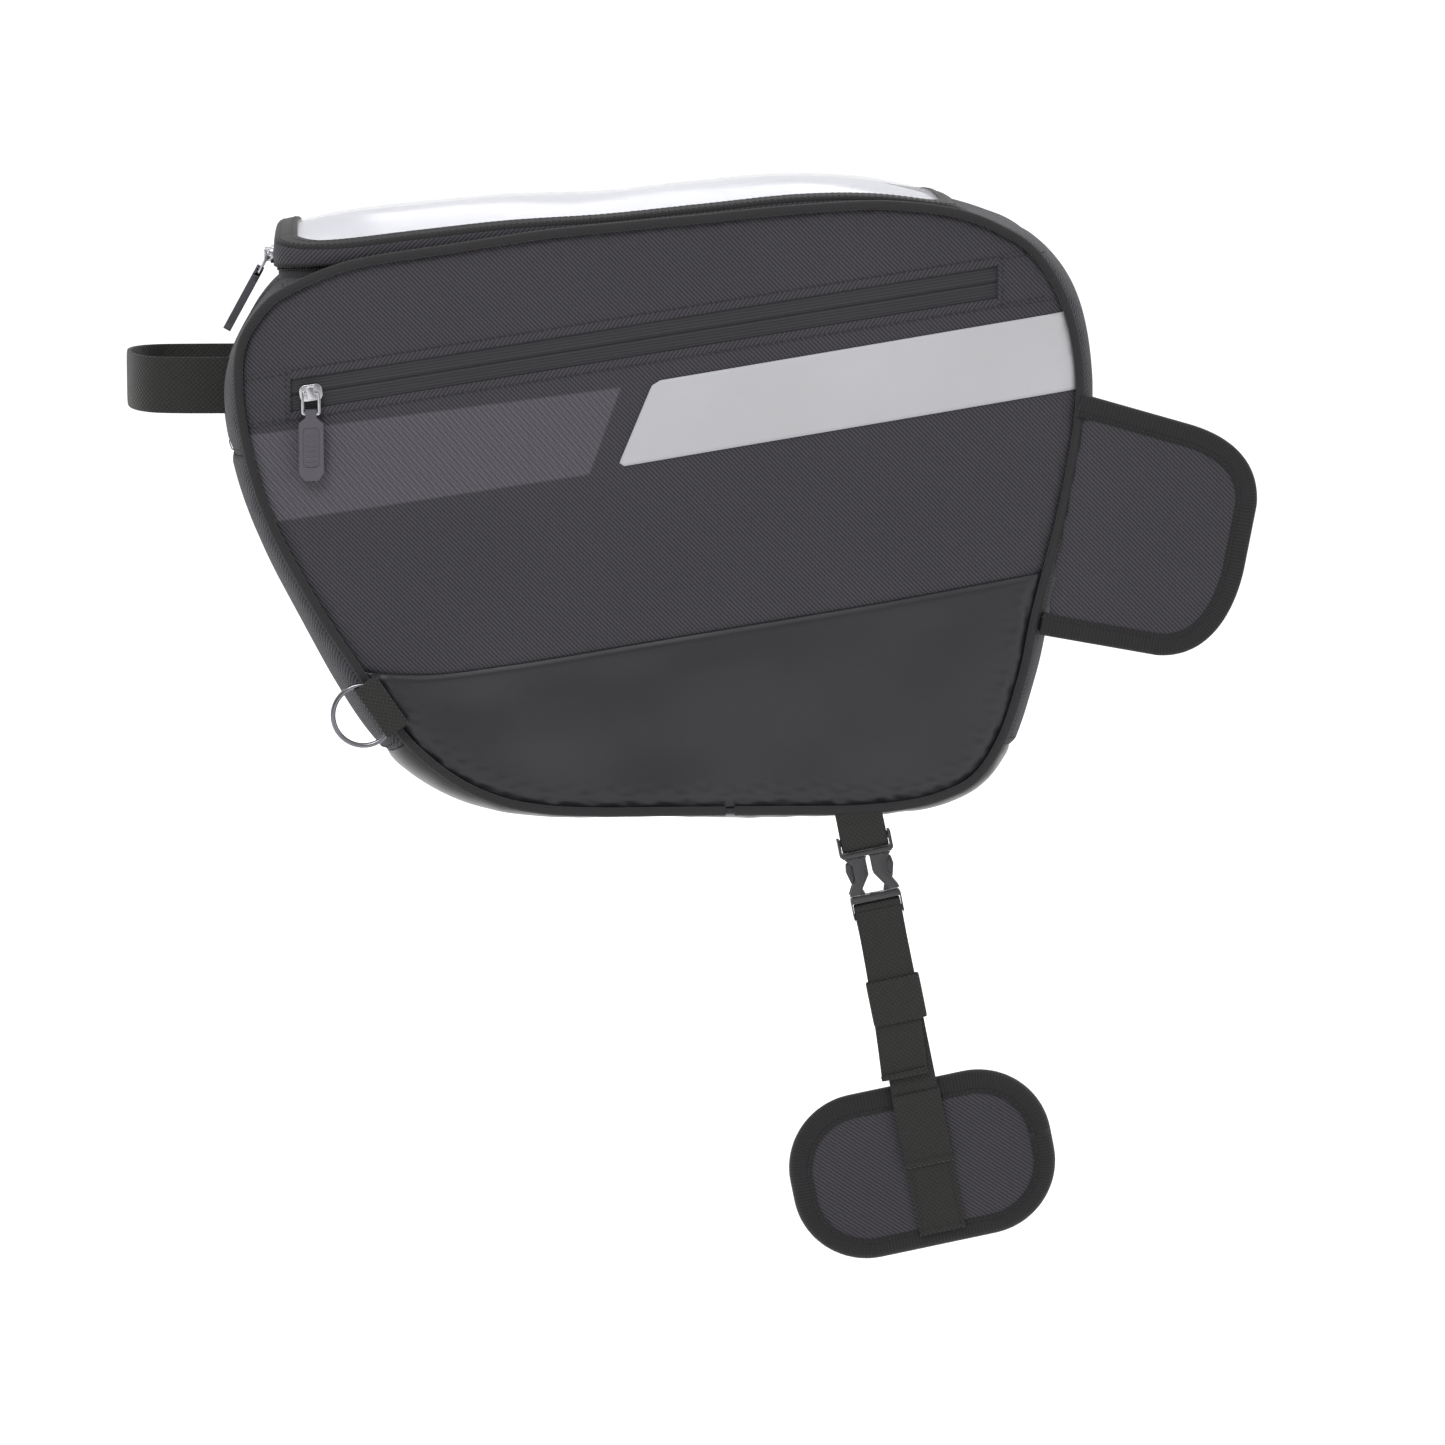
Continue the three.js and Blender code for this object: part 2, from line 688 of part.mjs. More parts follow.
function padWebbing() {
  const half = WEBBING_THICK / 2;
  const strip = span(144.9, 230, WEBBING, -half, half);
  return join(strip, span(187, 191, WEBBING + 1.5, -half - 1.2, 0));
}

// ---------------------------------------------------------------- assembly
const bag = new THREE.Group();

function add(parent, name, geometry, finish) {
  const mesh = new THREE.Mesh(clean(geometry), new THREE.MeshStandardMaterial(FINISH[finish]));
  mesh.name = name;
  parent.add(mesh);
  return mesh;
}

function group(parent, position, turnY = 0) {
  const made = new THREE.Group();
  made.position.copy(position);
  made.rotation.y = turnY;
  parent.add(made);
  return made;
}

function addShell() {
  const start = sectionStart;
  const shell = [
    ["base_panel", start.base, start.frontLower, 24, "coated"],
    ["front_gusset_lower", start.frontLower, start.frontUpper, 10, "cloth"],
    ["front_gusset_upper", start.frontUpper, start.top, 10, "cloth"],
    ["rear_gusset", start.rear, segmentCount, 18, "cloth"],
  ];
  for (const [name, from, to, steps, finish] of shell) {
    add(bag, name, gussetPiece(from, to, steps, GUSSET_EDGE, 0, PANEL_THICK), finish);
  }
  const liningFrom = start.rear - segmentCount + 0.4;
  const lining = gussetPiece(liningFrom, start.top - 0.3, 26, 88, LINING_INSET, LINING_THICK);
  add(bag, "gusset_lining", lining, "lining");
  const plan = roundedRectangle(BOARD.length, BOARD.width, 14, BOARD.x);
  const board = new THREE.ExtrudeGeometry(plan, { depth: BOARD.thick, bevelEnabled: false, curveSegments: 4 });
  board.translate(0, 0, BOARD.z);
  add(bag, "base_board", board, "board");
  add(bag, "main_zip_tape", bodyZipTape(), "tape");
}

function addSide(side, mirror) {
  const wall = new THREE.Group();
  wall.scale.y = mirror;
  bag.add(wall);
  for (const [name, geometry] of Object.entries(sidePanels())) {
    add(wall, `${name}_${side}`, geometry, name === "side_lower" ? "coated" : "cloth");
  }
  add(wall, `piping_${side}`, piping(), "piping");
  const lining = plate(sideShape(LINING_INSET + 2), -PANEL_FACE + PANEL_THICK + GAP, -PANEL_FACE + PANEL_THICK + 1);
  add(wall, `side_lining_${side}`, lining, "lining");
  add(wall, `pocket_zip_tape_${side}`, pocketTape(), "tape");
  add(wall, `zip_patch_front_${side}`, zipPatch(-240, -195), "cloth");
  add(wall, `zip_patch_rear_${side}`, zipPatch(181, 230), "cloth");
  add(wall, `reflective_strip_${side}`, reflectiveStrip(), "reflective");
  const sliderZ = ZIP_MIDDLE.z + (SLIDER_X - ZIP_MIDDLE.x) * Math.tan(ZIP_ANGLE);
  const seat = group(wall, new THREE.Vector3(SLIDER_X, -TAPE_FACE, sliderZ), -ZIP_ANGLE);
  add(seat, `pocket_slider_${side}`, slider(), "metal");
  const hang = group(wall, new THREE.Vector3(SLIDER_X, -TAPE_FACE - BRIDGE_EYE, sliderZ));
  add(hang, `pocket_link_${side}`, link(), "metal");
  add(group(hang, new THREE.Vector3(0, 0, -PULL_DROP)), `pocket_grip_${side}`, grip(), "grip");
}

const MAIN_SLIDER = { x: LID_FRONT - 0.6, z: 299, offset: 9, lean: (29 * Math.PI) / 180 };

// A slider at the middle of the main zip's front run, with its pull lying on the gusset.
function addMainSlider(side, direction) {
  const seat = group(bag, new THREE.Vector3(MAIN_SLIDER.x, direction * MAIN_SLIDER.offset, MAIN_SLIDER.z));
  seat.rotation.z = -Math.PI / 2;
  add(seat, `main_slider_${side}`, slider(), "metal");
  const hang = group(seat, new THREE.Vector3(0, -BRIDGE_EYE, 0));
  hang.rotation.x = -MAIN_SLIDER.lean;
  add(hang, `main_link_${side}`, link(), "metal");
  add(group(hang, new THREE.Vector3(0, 0, -PULL_DROP)), `main_grip_${side}`, grip(), "grip");
}

function addLid() {
  const finishes = {
    lid_frame: "binding",
    map_window: "film",
    map_backing: "backing",
    lid_panel: "lining",
    lid_skirt: "cloth",
    lid_zip_tape: "tape",
  };
  for (const [name, geometry] of Object.entries(lidPieces())) add(bag, name, geometry, finishes[name]);
}

function addFlap() {
  const { pad, binding } = boundPad(flapShape, -PANEL_FACE + 0.2, 5);
  add(bag, "flap_pad", pad, "cloth");
  add(bag, "flap_binding", binding, "binding");
}

function addStrap() {
  const strap = group(bag, STRAP_ROOT, -STRAP_LEAN);
  add(strap, "strap_tab", loopedWebbing(0.4, 6.5, 5.8, 15.6), "webbing");
  add(strap, "socket_frame", socketFrame(), "buckle");
  add(strap, "socket_face", socketPlate(-10, 0), "buckle");
  add(strap, "socket_back", socketPlate(0, 10), "buckle");
  add(strap, "buckle_plug", bucklePlug(), "buckle");
  add(strap, "plug_prong_rear", plugProng(), "buckle");
  const mirrored = group(strap, new THREE.Vector3());
  mirrored.scale.x = -1;
  add(mirrored, "plug_prong_front", plugProng(), "buckle");
  add(strap, "strap_webbing", strapWebbing(), "webbing");
  add(strap, "strap_keeper", strapKeeper(), "webbing");
  add(strap, "pad_webbing", padWebbing(), "webbing");
  const shapeAt = (m) =>
    roundedRectangle(PAD.length - 2 * m, PAD.height - 2 * m, PAD.corner - m, PAD.across, -PAD.along);
  const { pad, binding } = boundPad(shapeAt, 1.3 + PAD.thick / 2 + BINDING_CLOTH + GAP, PAD.thick);
  add(strap, "strap_pad", pad, "cloth");
  add(strap, "pad_binding", binding, "binding");
}

addShell();
addSide("left", 1);
addSide("right", -1);
addLid();
addMainSlider("left", -1);
addMainSlider("right", 1);
add(bag, "handle", handle(), "webbing");
add(bag, "ring", torus(RING.wire), "metal");
add(bag, "ring_tab", ringTab(), "webbing");
addFlap();
addStrap();

export default bag;
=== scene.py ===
"""Looks of a soft motorcycle tunnel bag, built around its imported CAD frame.

The bag is a hollow cloth shell: two padded side walls edged with piping, a crowned gusset between them, a zipped
lid with a map window, side pockets, a webbing handle, a ring, a padded flap, and a buckled strap with a small pad.
Every length is in metres unless its name ends in _mm.
"""

import json
import logging
import math
from dataclasses import dataclass, field
from enum import Enum

import bmesh
import bpy
import numpy as np
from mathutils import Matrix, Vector


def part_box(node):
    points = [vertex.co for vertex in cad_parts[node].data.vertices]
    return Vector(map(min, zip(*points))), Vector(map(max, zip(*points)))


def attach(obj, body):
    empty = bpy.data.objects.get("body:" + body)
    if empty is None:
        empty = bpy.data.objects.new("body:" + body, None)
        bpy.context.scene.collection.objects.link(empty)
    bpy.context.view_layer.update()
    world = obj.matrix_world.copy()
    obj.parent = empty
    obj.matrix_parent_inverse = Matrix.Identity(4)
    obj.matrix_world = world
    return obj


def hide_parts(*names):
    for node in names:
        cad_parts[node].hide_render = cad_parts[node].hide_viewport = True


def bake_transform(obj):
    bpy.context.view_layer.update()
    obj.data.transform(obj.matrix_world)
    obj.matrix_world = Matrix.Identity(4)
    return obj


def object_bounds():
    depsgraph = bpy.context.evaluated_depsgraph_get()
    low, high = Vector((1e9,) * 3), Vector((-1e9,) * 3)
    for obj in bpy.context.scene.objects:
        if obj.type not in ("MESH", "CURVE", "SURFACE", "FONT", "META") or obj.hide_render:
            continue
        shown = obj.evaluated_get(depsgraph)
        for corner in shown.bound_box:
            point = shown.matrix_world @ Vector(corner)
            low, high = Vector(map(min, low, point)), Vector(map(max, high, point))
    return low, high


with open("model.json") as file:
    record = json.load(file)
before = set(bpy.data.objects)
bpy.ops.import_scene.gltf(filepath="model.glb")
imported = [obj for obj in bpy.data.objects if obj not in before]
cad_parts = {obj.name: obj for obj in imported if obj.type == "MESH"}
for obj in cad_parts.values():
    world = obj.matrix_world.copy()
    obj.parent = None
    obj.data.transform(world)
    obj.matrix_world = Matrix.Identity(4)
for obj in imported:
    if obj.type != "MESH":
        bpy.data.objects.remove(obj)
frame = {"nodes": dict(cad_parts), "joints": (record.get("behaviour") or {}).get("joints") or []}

MM = 0.001
LOG = logging.getLogger("tunnel_bag")
CAD_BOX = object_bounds()
JOINTS = {joint["name"]: joint for joint in frame["joints"]}


# ------------------------------------------------------------------ small helpers
def srgb(hex_colour: str) -> tuple[float, float, float, float]:
    """Turn an sRGB hex colour into linear red, green, blue and alpha.

    Args:
        hex_colour: six hex digits.

    Returns:
        Linear colour with alpha 1.
    """
    parts = [int(hex_colour[i : i + 2], 16) / 255 for i in (0, 2, 4)]
    linear = [c / 12.92 if c <= 0.04045 else ((c + 0.055) / 1.055) ** 2.4 for c in parts]
    return (*linear, 1.0)


def smooth(value: np.ndarray, low: float, high: float) -> np.ndarray:
    """Ease from 0 at low to 1 at high."""
    t = np.clip((np.asarray(value, float) - low) / (high - low), 0, 1)
    return t * t * (3 - 2 * t)


def unit(vectors: np.ndarray) -> np.ndarray:
    """Scale each row vector to length one."""
    length = np.linalg.norm(vectors, axis=-1, keepdims=True)
    return vectors / np.maximum(length, 1e-12)


def soft_noise(u: np.ndarray, v: np.ndarray, wavelength: float, seed: int) -> np.ndarray:
    """Smooth, repeatable noise between about -1 and 1, from a few crossed waves.

    Args:
        u: first coordinate, in metres.
        v: second coordinate, in metres.
        wavelength: typical distance between crests.
        seed: fixes the waves' directions and phases.

    Returns:
        Noise value at each point.
    """
    random = np.random.default_rng(seed)
    total = np.zeros(np.broadcast(u, v).shape)
    for _ in range(7):
        angle = random.uniform(0, math.pi)
        size = wavelength * random.uniform(0.6, 1.7)
        phase = random.uniform(0, 2 * math.pi)
        total += np.sin((u * math.cos(angle) + v * math.sin(angle)) * 2 * math.pi / size + phase)
    return total / 3.4


def resample(points: np.ndarray, spacing: float, closed: bool = False) -> np.ndarray:
    """Spread points evenly along a polyline.

    Args:
        points: the polyline, one row a point.
        spacing: wanted distance between points.
        closed: whether the last point joins the first.

    Returns:
        Evenly spaced points; a closed line doesn't repeat its first.
    """
    line = np.vstack([points, points[:1]]) if closed else points
    along = np.concatenate([[0], np.cumsum(np.linalg.norm(np.diff(line, axis=0), axis=1))])
    count = max(4, int(round(along[-1] / spacing)))
    places = np.linspace(0, along[-1], count + 1)
    if closed:
        places = places[:-1]
    return np.stack([np.interp(places, along, line[:, k]) for k in range(line.shape[1])], axis=1)


def catmull(points: np.ndarray, stations: np.ndarray, closed: bool) -> np.ndarray:
    """Centripetal Catmull-Rom curve through points, the curve that the CAD lines follow.

    Args:
        points: control points.
        stations: places on the curve, where a whole number is a control point.
        closed: whether the curve closes on itself.

    Returns:
        One point of the curve for each station.
    """
    count = len(points)
    if closed:
        whole = np.floor(stations).astype(int)
        picks = [points[(whole + k) % count] for k in (-1, 0, 1, 2)]
    else:
        whole = np.clip(np.floor(stations).astype(int), 0, count - 2)
        padded = np.vstack([2 * points[0] - points[1], points, 2 * points[-1] - points[-2]])
        picks = [padded[whole + 1 + k] for k in (-1, 0, 1, 2)]
    t = (stations - whole)[:, None]
    p0, p1, p2, p3 = picks
    knots = [np.maximum(np.linalg.norm(b - a, axis=1), 1e-9)[:, None] ** 0.5 for a, b in zip(picks, picks[1:])]
    d0, d1, d2 = knots
    m1 = ((p1 - p0) / d0 - (p2 - p0) / (d0 + d1) + (p2 - p1) / d1) * d1
    m2 = ((p2 - p1) / d1 - (p3 - p1) / (d1 + d2) + (p3 - p2) / d2) * d1
    return p1 + m1 * t + (3 * (p2 - p1) - 2 * m1 - m2) * t**2 + (2 * (p1 - p2) + m1 + m2) * t**3


# ------------------------------------------------------------------ meshes
def make_mesh(name: str, points: np.ndarray, faces: list, weave: np.ndarray | None = None) -> bpy.types.Object:
    """Make a smooth-shaded mesh object whose faces point outwards.

    Args:
        name: the piece's name.
        points: vertices in metres, in the frame.
        faces: vertex numbers of each face.
        weave: cloth coordinates of each vertex in metres, along and across the cloth.

    Returns:
        The new object, linked to the scene.
    """
    mesh = bpy.data.meshes.new(name)
    mesh.from_pydata(np.asarray(points, float).tolist(), [], faces)
    if weave is not None:
        attribute = mesh.attributes.new("weave", "FLOAT2", "POINT")
        attribute.data.foreach_set("vector", np.asarray(weave, np.float32).ravel())
    work = bmesh.new()
    work.from_mesh(mesh)
    bmesh.ops.recalc_face_normals(work, faces=work.faces)
    work.to_mesh(mesh)
    work.free()
    mesh.polygons.foreach_set("use_smooth", [True] * len(mesh.polygons))
    made = bpy.data.objects.new(name, mesh)
    bpy.context.scene.collection.objects.link(made)
    return made


def grid_faces(rows: int, columns: int, start: int = 0, close_rows: bool = False, close_columns: bool = False) -> list:
    """Quads of a grid of vertices numbered row by row from start.

    Args:
        rows: rows of points.
        columns: points in a row.
        start: number of the first point.
        close_rows: join the last row to the first.
        close_columns: join each row's end to its start.

    Returns:
        The faces as point numbers.
    """
    faces = []
    for i in range(rows if close_rows else rows - 1):
        for j in range(columns if close_columns else columns - 1):
            a, b = i * columns, ((i + 1) % rows) * columns
            k = (j + 1) % columns
            faces.append((start + a + j, start + b + j, start + b + k, start + a + k))
    return faces


def shell(name: str, outer: np.ndarray, inner: np.ndarray, weave: np.ndarray) -> bpy.types.Object:
    """Make a closed sheet between two matching grids of points.

    Args:
        name: the piece's name.
        outer: rows x columns x 3 points of the outer face.
        inner: the inner face, of the same shape.
        weave: rows x columns x 2 cloth coordinates.

    Returns:
        The closed mesh object.
    """
    rows, columns, _ = outer.shape
    size = rows * columns
    faces = grid_faces(rows, columns) + [f[::-1] for f in grid_faces(rows, columns, size)]
    rim = [(i, 0) for i in range(rows)] + [(rows - 1, j) for j in range(1, columns)]
    rim += [(i, columns - 1) for i in range(rows - 2, -1, -1)] + [(0, j) for j in range(columns - 2, 0, -1)]
    for (i, j), (k, m) in zip(rim, rim[1:] + rim[:1]):
        a, b = i * columns + j, k * columns + m
        faces.append((b, a, size + a, size + b))
    points = np.vstack([outer.reshape(-1, 3), inner.reshape(-1, 3)])
    flat = weave.reshape(-1, 2)
    return make_mesh(name, points, faces, np.vstack([flat, flat]))


def sweep(
    name: str,
    path: np.ndarray,
    first: np.ndarray,
    second: np.ndarray,
    profile: np.ndarray,
    closed: bool = False,
) -> bpy.types.Object:
    """Sweep a closed profile along a path.

    Args:
        name: the piece's name.
        path: points of the path.
        first: the profile's first axis at each point, or one for all.
        second: the profile's second axis at each point, or one for all.
        profile: rows of (first, second) distances round the profile.
        closed: whether the path closes on itself.

    Returns:
        A closed mesh: a ring, or a bar with both ends capped.
    """
    count, sides = len(path), len(profile)
    first = np.broadcast_to(first, path.shape)[:, None, :]
    second = np.broadcast_to(second, path.shape)[:, None, :]
    rings = path[:, None, :] + first * profile[None, :, :1] + second * profile[None, :, 1:]
    faces = grid_faces(count, sides, close_rows=closed, close_columns=True)
    step = np.linalg.norm(np.diff(path, axis=0), axis=1)
    along = np.concatenate([[0], np.cumsum(step)])
    girth = np.concatenate([[0], np.cumsum(np.linalg.norm(np.diff(profile, axis=0), axis=1))])
    weave = np.stack(np.meshgrid(along, girth, indexing="ij"), axis=-1).reshape(-1, 2)
    points = rings.reshape(-1, 3)
    if not closed:
        ends = np.stack([rings[0].mean(0), rings[-1].mean(0)])
        near, far = len(points), len(points) + 1
        last = (count - 1) * sides
        for j in range(sides):
            k = (j + 1) % sides
            faces.append((near, k, j))
            faces.append((far, last + j, last + k))
        points = np.vstack([points, ends])
        weave = np.vstack([weave, weave[:1], weave[last : last + 1]])
    return make_mesh(name, points, faces, weave)


def round_profile(radius: float, sides: int = 12) -> np.ndarray:
    """A circle's points, for a cord or a wire."""
    angle = np.arange(sides) * 2 * math.pi / sides
    return np.stack([np.cos(angle), np.sin(angle)], axis=1) * radius


def flat_profile(width: float, thick: float, sides: int = 28, power: float = 0.35) -> np.ndarray:
    """A flat band's section with soft rounded edges.

    Args:
        width: width of the band.
        thick: its thickness.
        sides: how many points.
        power: how square the edges are.

    Returns:
        Points round the band's cross section.
    """
    angle = np.arange(sides) * 2 * math.pi / sides
    c, s = np.cos(angle), np.sin(angle)
    across = np.sign(c) * np.abs(c) ** power * width / 2
    through = np.sign(s) * np.abs(s) ** power * thick / 2
    return np.stack([across, through], axis=1)


def fan(boundary: np.ndarray, centre: np.ndarray, rings: int) -> tuple[np.ndarray, list, np.ndarray]:
    """Fill a star-shaped outline with rings of points that close in on its centre.

    Args:
        boundary: points round the outline.
        centre: a point that sees all of it.
        rings: how many rings of points.

    Returns:
        The points, their faces, and each point's share of the way out, 0 to 1.
    """
    count = len(boundary)
    share = 1 - (1 - np.linspace(1, 0, rings, endpoint=False)[::-1])
    share = np.sin(share * math.pi / 2)
    points = centre + (boundary - centre) * share[:, None, None]
    faces = grid_faces(rings, count, close_columns=True)
    hub = rings * count
    faces += [(hub, j, (j + 1) % count) for j in range(count)]
    flat = np.vstack([points.reshape(-1, boundary.shape[1]), centre])
    return flat, faces, np.append(np.repeat(share, count), 0.0)


def closed_fan(
    name: str, front: np.ndarray, back: np.ndarray, faces: list, count: int, flat: np.ndarray | None
) -> bpy.types.Object:
    """Join a filled outline's front and back round their edge.

    Args:
        name: the piece's name.
        front: points of the front.
        back: points of the back, in the same order.
        faces: faces of the front, from fan().
        count: how many points are on the outline.
        flat: the cloth coordinates of the points, or None where they come later.

    Returns:
        The closed piece.
    """
    size = len(front)
    ring = size - 1 - count
    faces = faces + [tuple(size + i for i in face[::-1]) for face in faces]
    for j in range(count):
        a, b = ring + j, ring + (j + 1) % count
        faces.append((a, b, size + b, size + a))
    weave = None if flat is None else np.vstack([flat, flat])
    return make_mesh(name, np.vstack([front, back]), faces, weave)


def refined(
    source: str, name: str, bevel_mm: float, cutters: tuple[bpy.types.Object, ...] = (), segments: int = 3
) -> bpy.types.Object:
    """Copy a hard CAD node, merge its triangles into flats, cut its openings and round its edges.

    Args:
        source: the CAD node.
        name: the new piece's name.
        bevel_mm: radius of the moulded or tumbled edges.
        cutters: closed meshes taken away from it.
        segments: steps round each edge.

    Returns:
        The rounded copy.
    """
    made = bpy.data.objects.new(name, frame["nodes"][source].data.copy())
    bpy.context.scene.collection.objects.link(made)
    made.data.materials.clear()
    work = bmesh.new()
    work.from_mesh(made.data)
    bmesh.ops.remove_doubles(work, verts=work.verts, dist=1e-5)
    work.to_mesh(made.data)
    work.free()
    for number, cutter in enumerate(cutters):
        opening = made.modifiers.new(f"opening_{number}", "BOOLEAN")
        opening.operation, opening.solver, opening.object = "DIFFERENCE", "EXACT", cutter
    if cutters:
        bake_modifiers(made)
    work = bmesh.new()
    work.from_mesh(made.data)
    bmesh.ops.remove_doubles(work, verts=work.verts, dist=1e-5)
    bmesh.ops.dissolve_limit(work, angle_limit=math.radians(4), verts=work.verts, edges=work.edges)
    work.to_mesh(made.data)
    work.free()
    made.data.polygons.foreach_set("use_smooth", [True] * len(made.data.polygons))
    rounding = made.modifiers.new("rounding", "BEVEL")
    rounding.width = bevel_mm * MM
    rounding.segments = segments
    rounding.limit_method = "ANGLE"
    rounding.angle_limit = math.radians(28)
    rounding.harden_normals = True
    return made


def bar(name: str, ring: np.ndarray, depth: np.ndarray) -> bpy.types.Object:
    """A closed bar between a ring of points and the same ring moved by depth.

    Args:
        name: the piece's name.
        ring: points round one end.
        depth: from that end to the other.

    Returns:
        The bar.
    """
    count = len(ring)
    faces = [(j, (j + 1) % count, count + (j + 1) % count, count + j) for j in range(count)]
    faces += [tuple(range(count))[::-1], tuple(range(count, 2 * count))]
    return make_mesh(name, np.vstack([ring, ring + depth]), faces)


def bake_modifiers(piece: bpy.types.Object) -> bpy.types.Object:
    """Turn a piece's modifiers into its plain mesh.

    Args:
        piece: the piece with its modifiers.

    Returns:
        The same piece with a plain mesh.
    """
    graph = bpy.context.evaluated_depsgraph_get()
    graph.update()
    mesh = bpy.data.meshes.new_from_object(piece.evaluated_get(graph), depsgraph=graph)
    piece.modifiers.clear()
    piece.data = mesh
    return piece


def dress(piece: bpy.types.Object, material: bpy.types.Material) -> bpy.types.Object:
    """Give a piece one material.

    Args:
        piece: the piece.
        material: its material.

    Returns:
        The same piece.
    """
    piece.data.materials.clear()
    piece.data.materials.append(material)
    return piece


def settle(piece: bpy.types.Object, body: str, slot: str, *nodes: str) -> bpy.types.Object:
    """Tie a finished piece to its CAD body and hide the CAD nodes that it stands for.

    Args:
        piece: the finished mesh.
        body: the CAD body it moves with.
        slot: the record's material slot; not used.
        nodes: CAD nodes that it replaces.

    Returns:
        The same piece.
    """
    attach(piece, body)
    if nodes:
        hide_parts(*nodes)
    LOG.info("%s on %s: %d faces", piece.name, body, len(piece.data.polygons))
    return piece


# ------------------------------------------------------------------ materials
def add_node(tree: bpy.types.NodeTree, kind: str, settings: dict | None = None, **inputs: object) -> bpy.types.Node:
    """Add a node with its settings, values and links.

    Args:
        tree: the node tree.
        kind: the node's type name.
        settings: attributes set on the node.
        inputs: socket names or _numbers, with a value or the socket to link.

    Returns:
        The new node.
    """
    made = tree.nodes.new(kind)
    for key, value in (settings or {}).items():
        setattr(made, key, value)
    for key, value in inputs.items():
        number = key.startswith("_") and key[1:].isdigit()
        socket = made.inputs[int(key[1:])] if number else made.inputs[key.replace("_", " ")]
        if isinstance(value, bpy.types.NodeSocket):
            tree.links.new(value, socket)
        else:
            socket.default_value = value
    return made


class Threads(Enum):
    """How a cloth's threads cross."""

    PLAIN = "plain"
    TWILL = "twill"
    RIBBED = "ribbed"
    SMOOTH = "smooth"


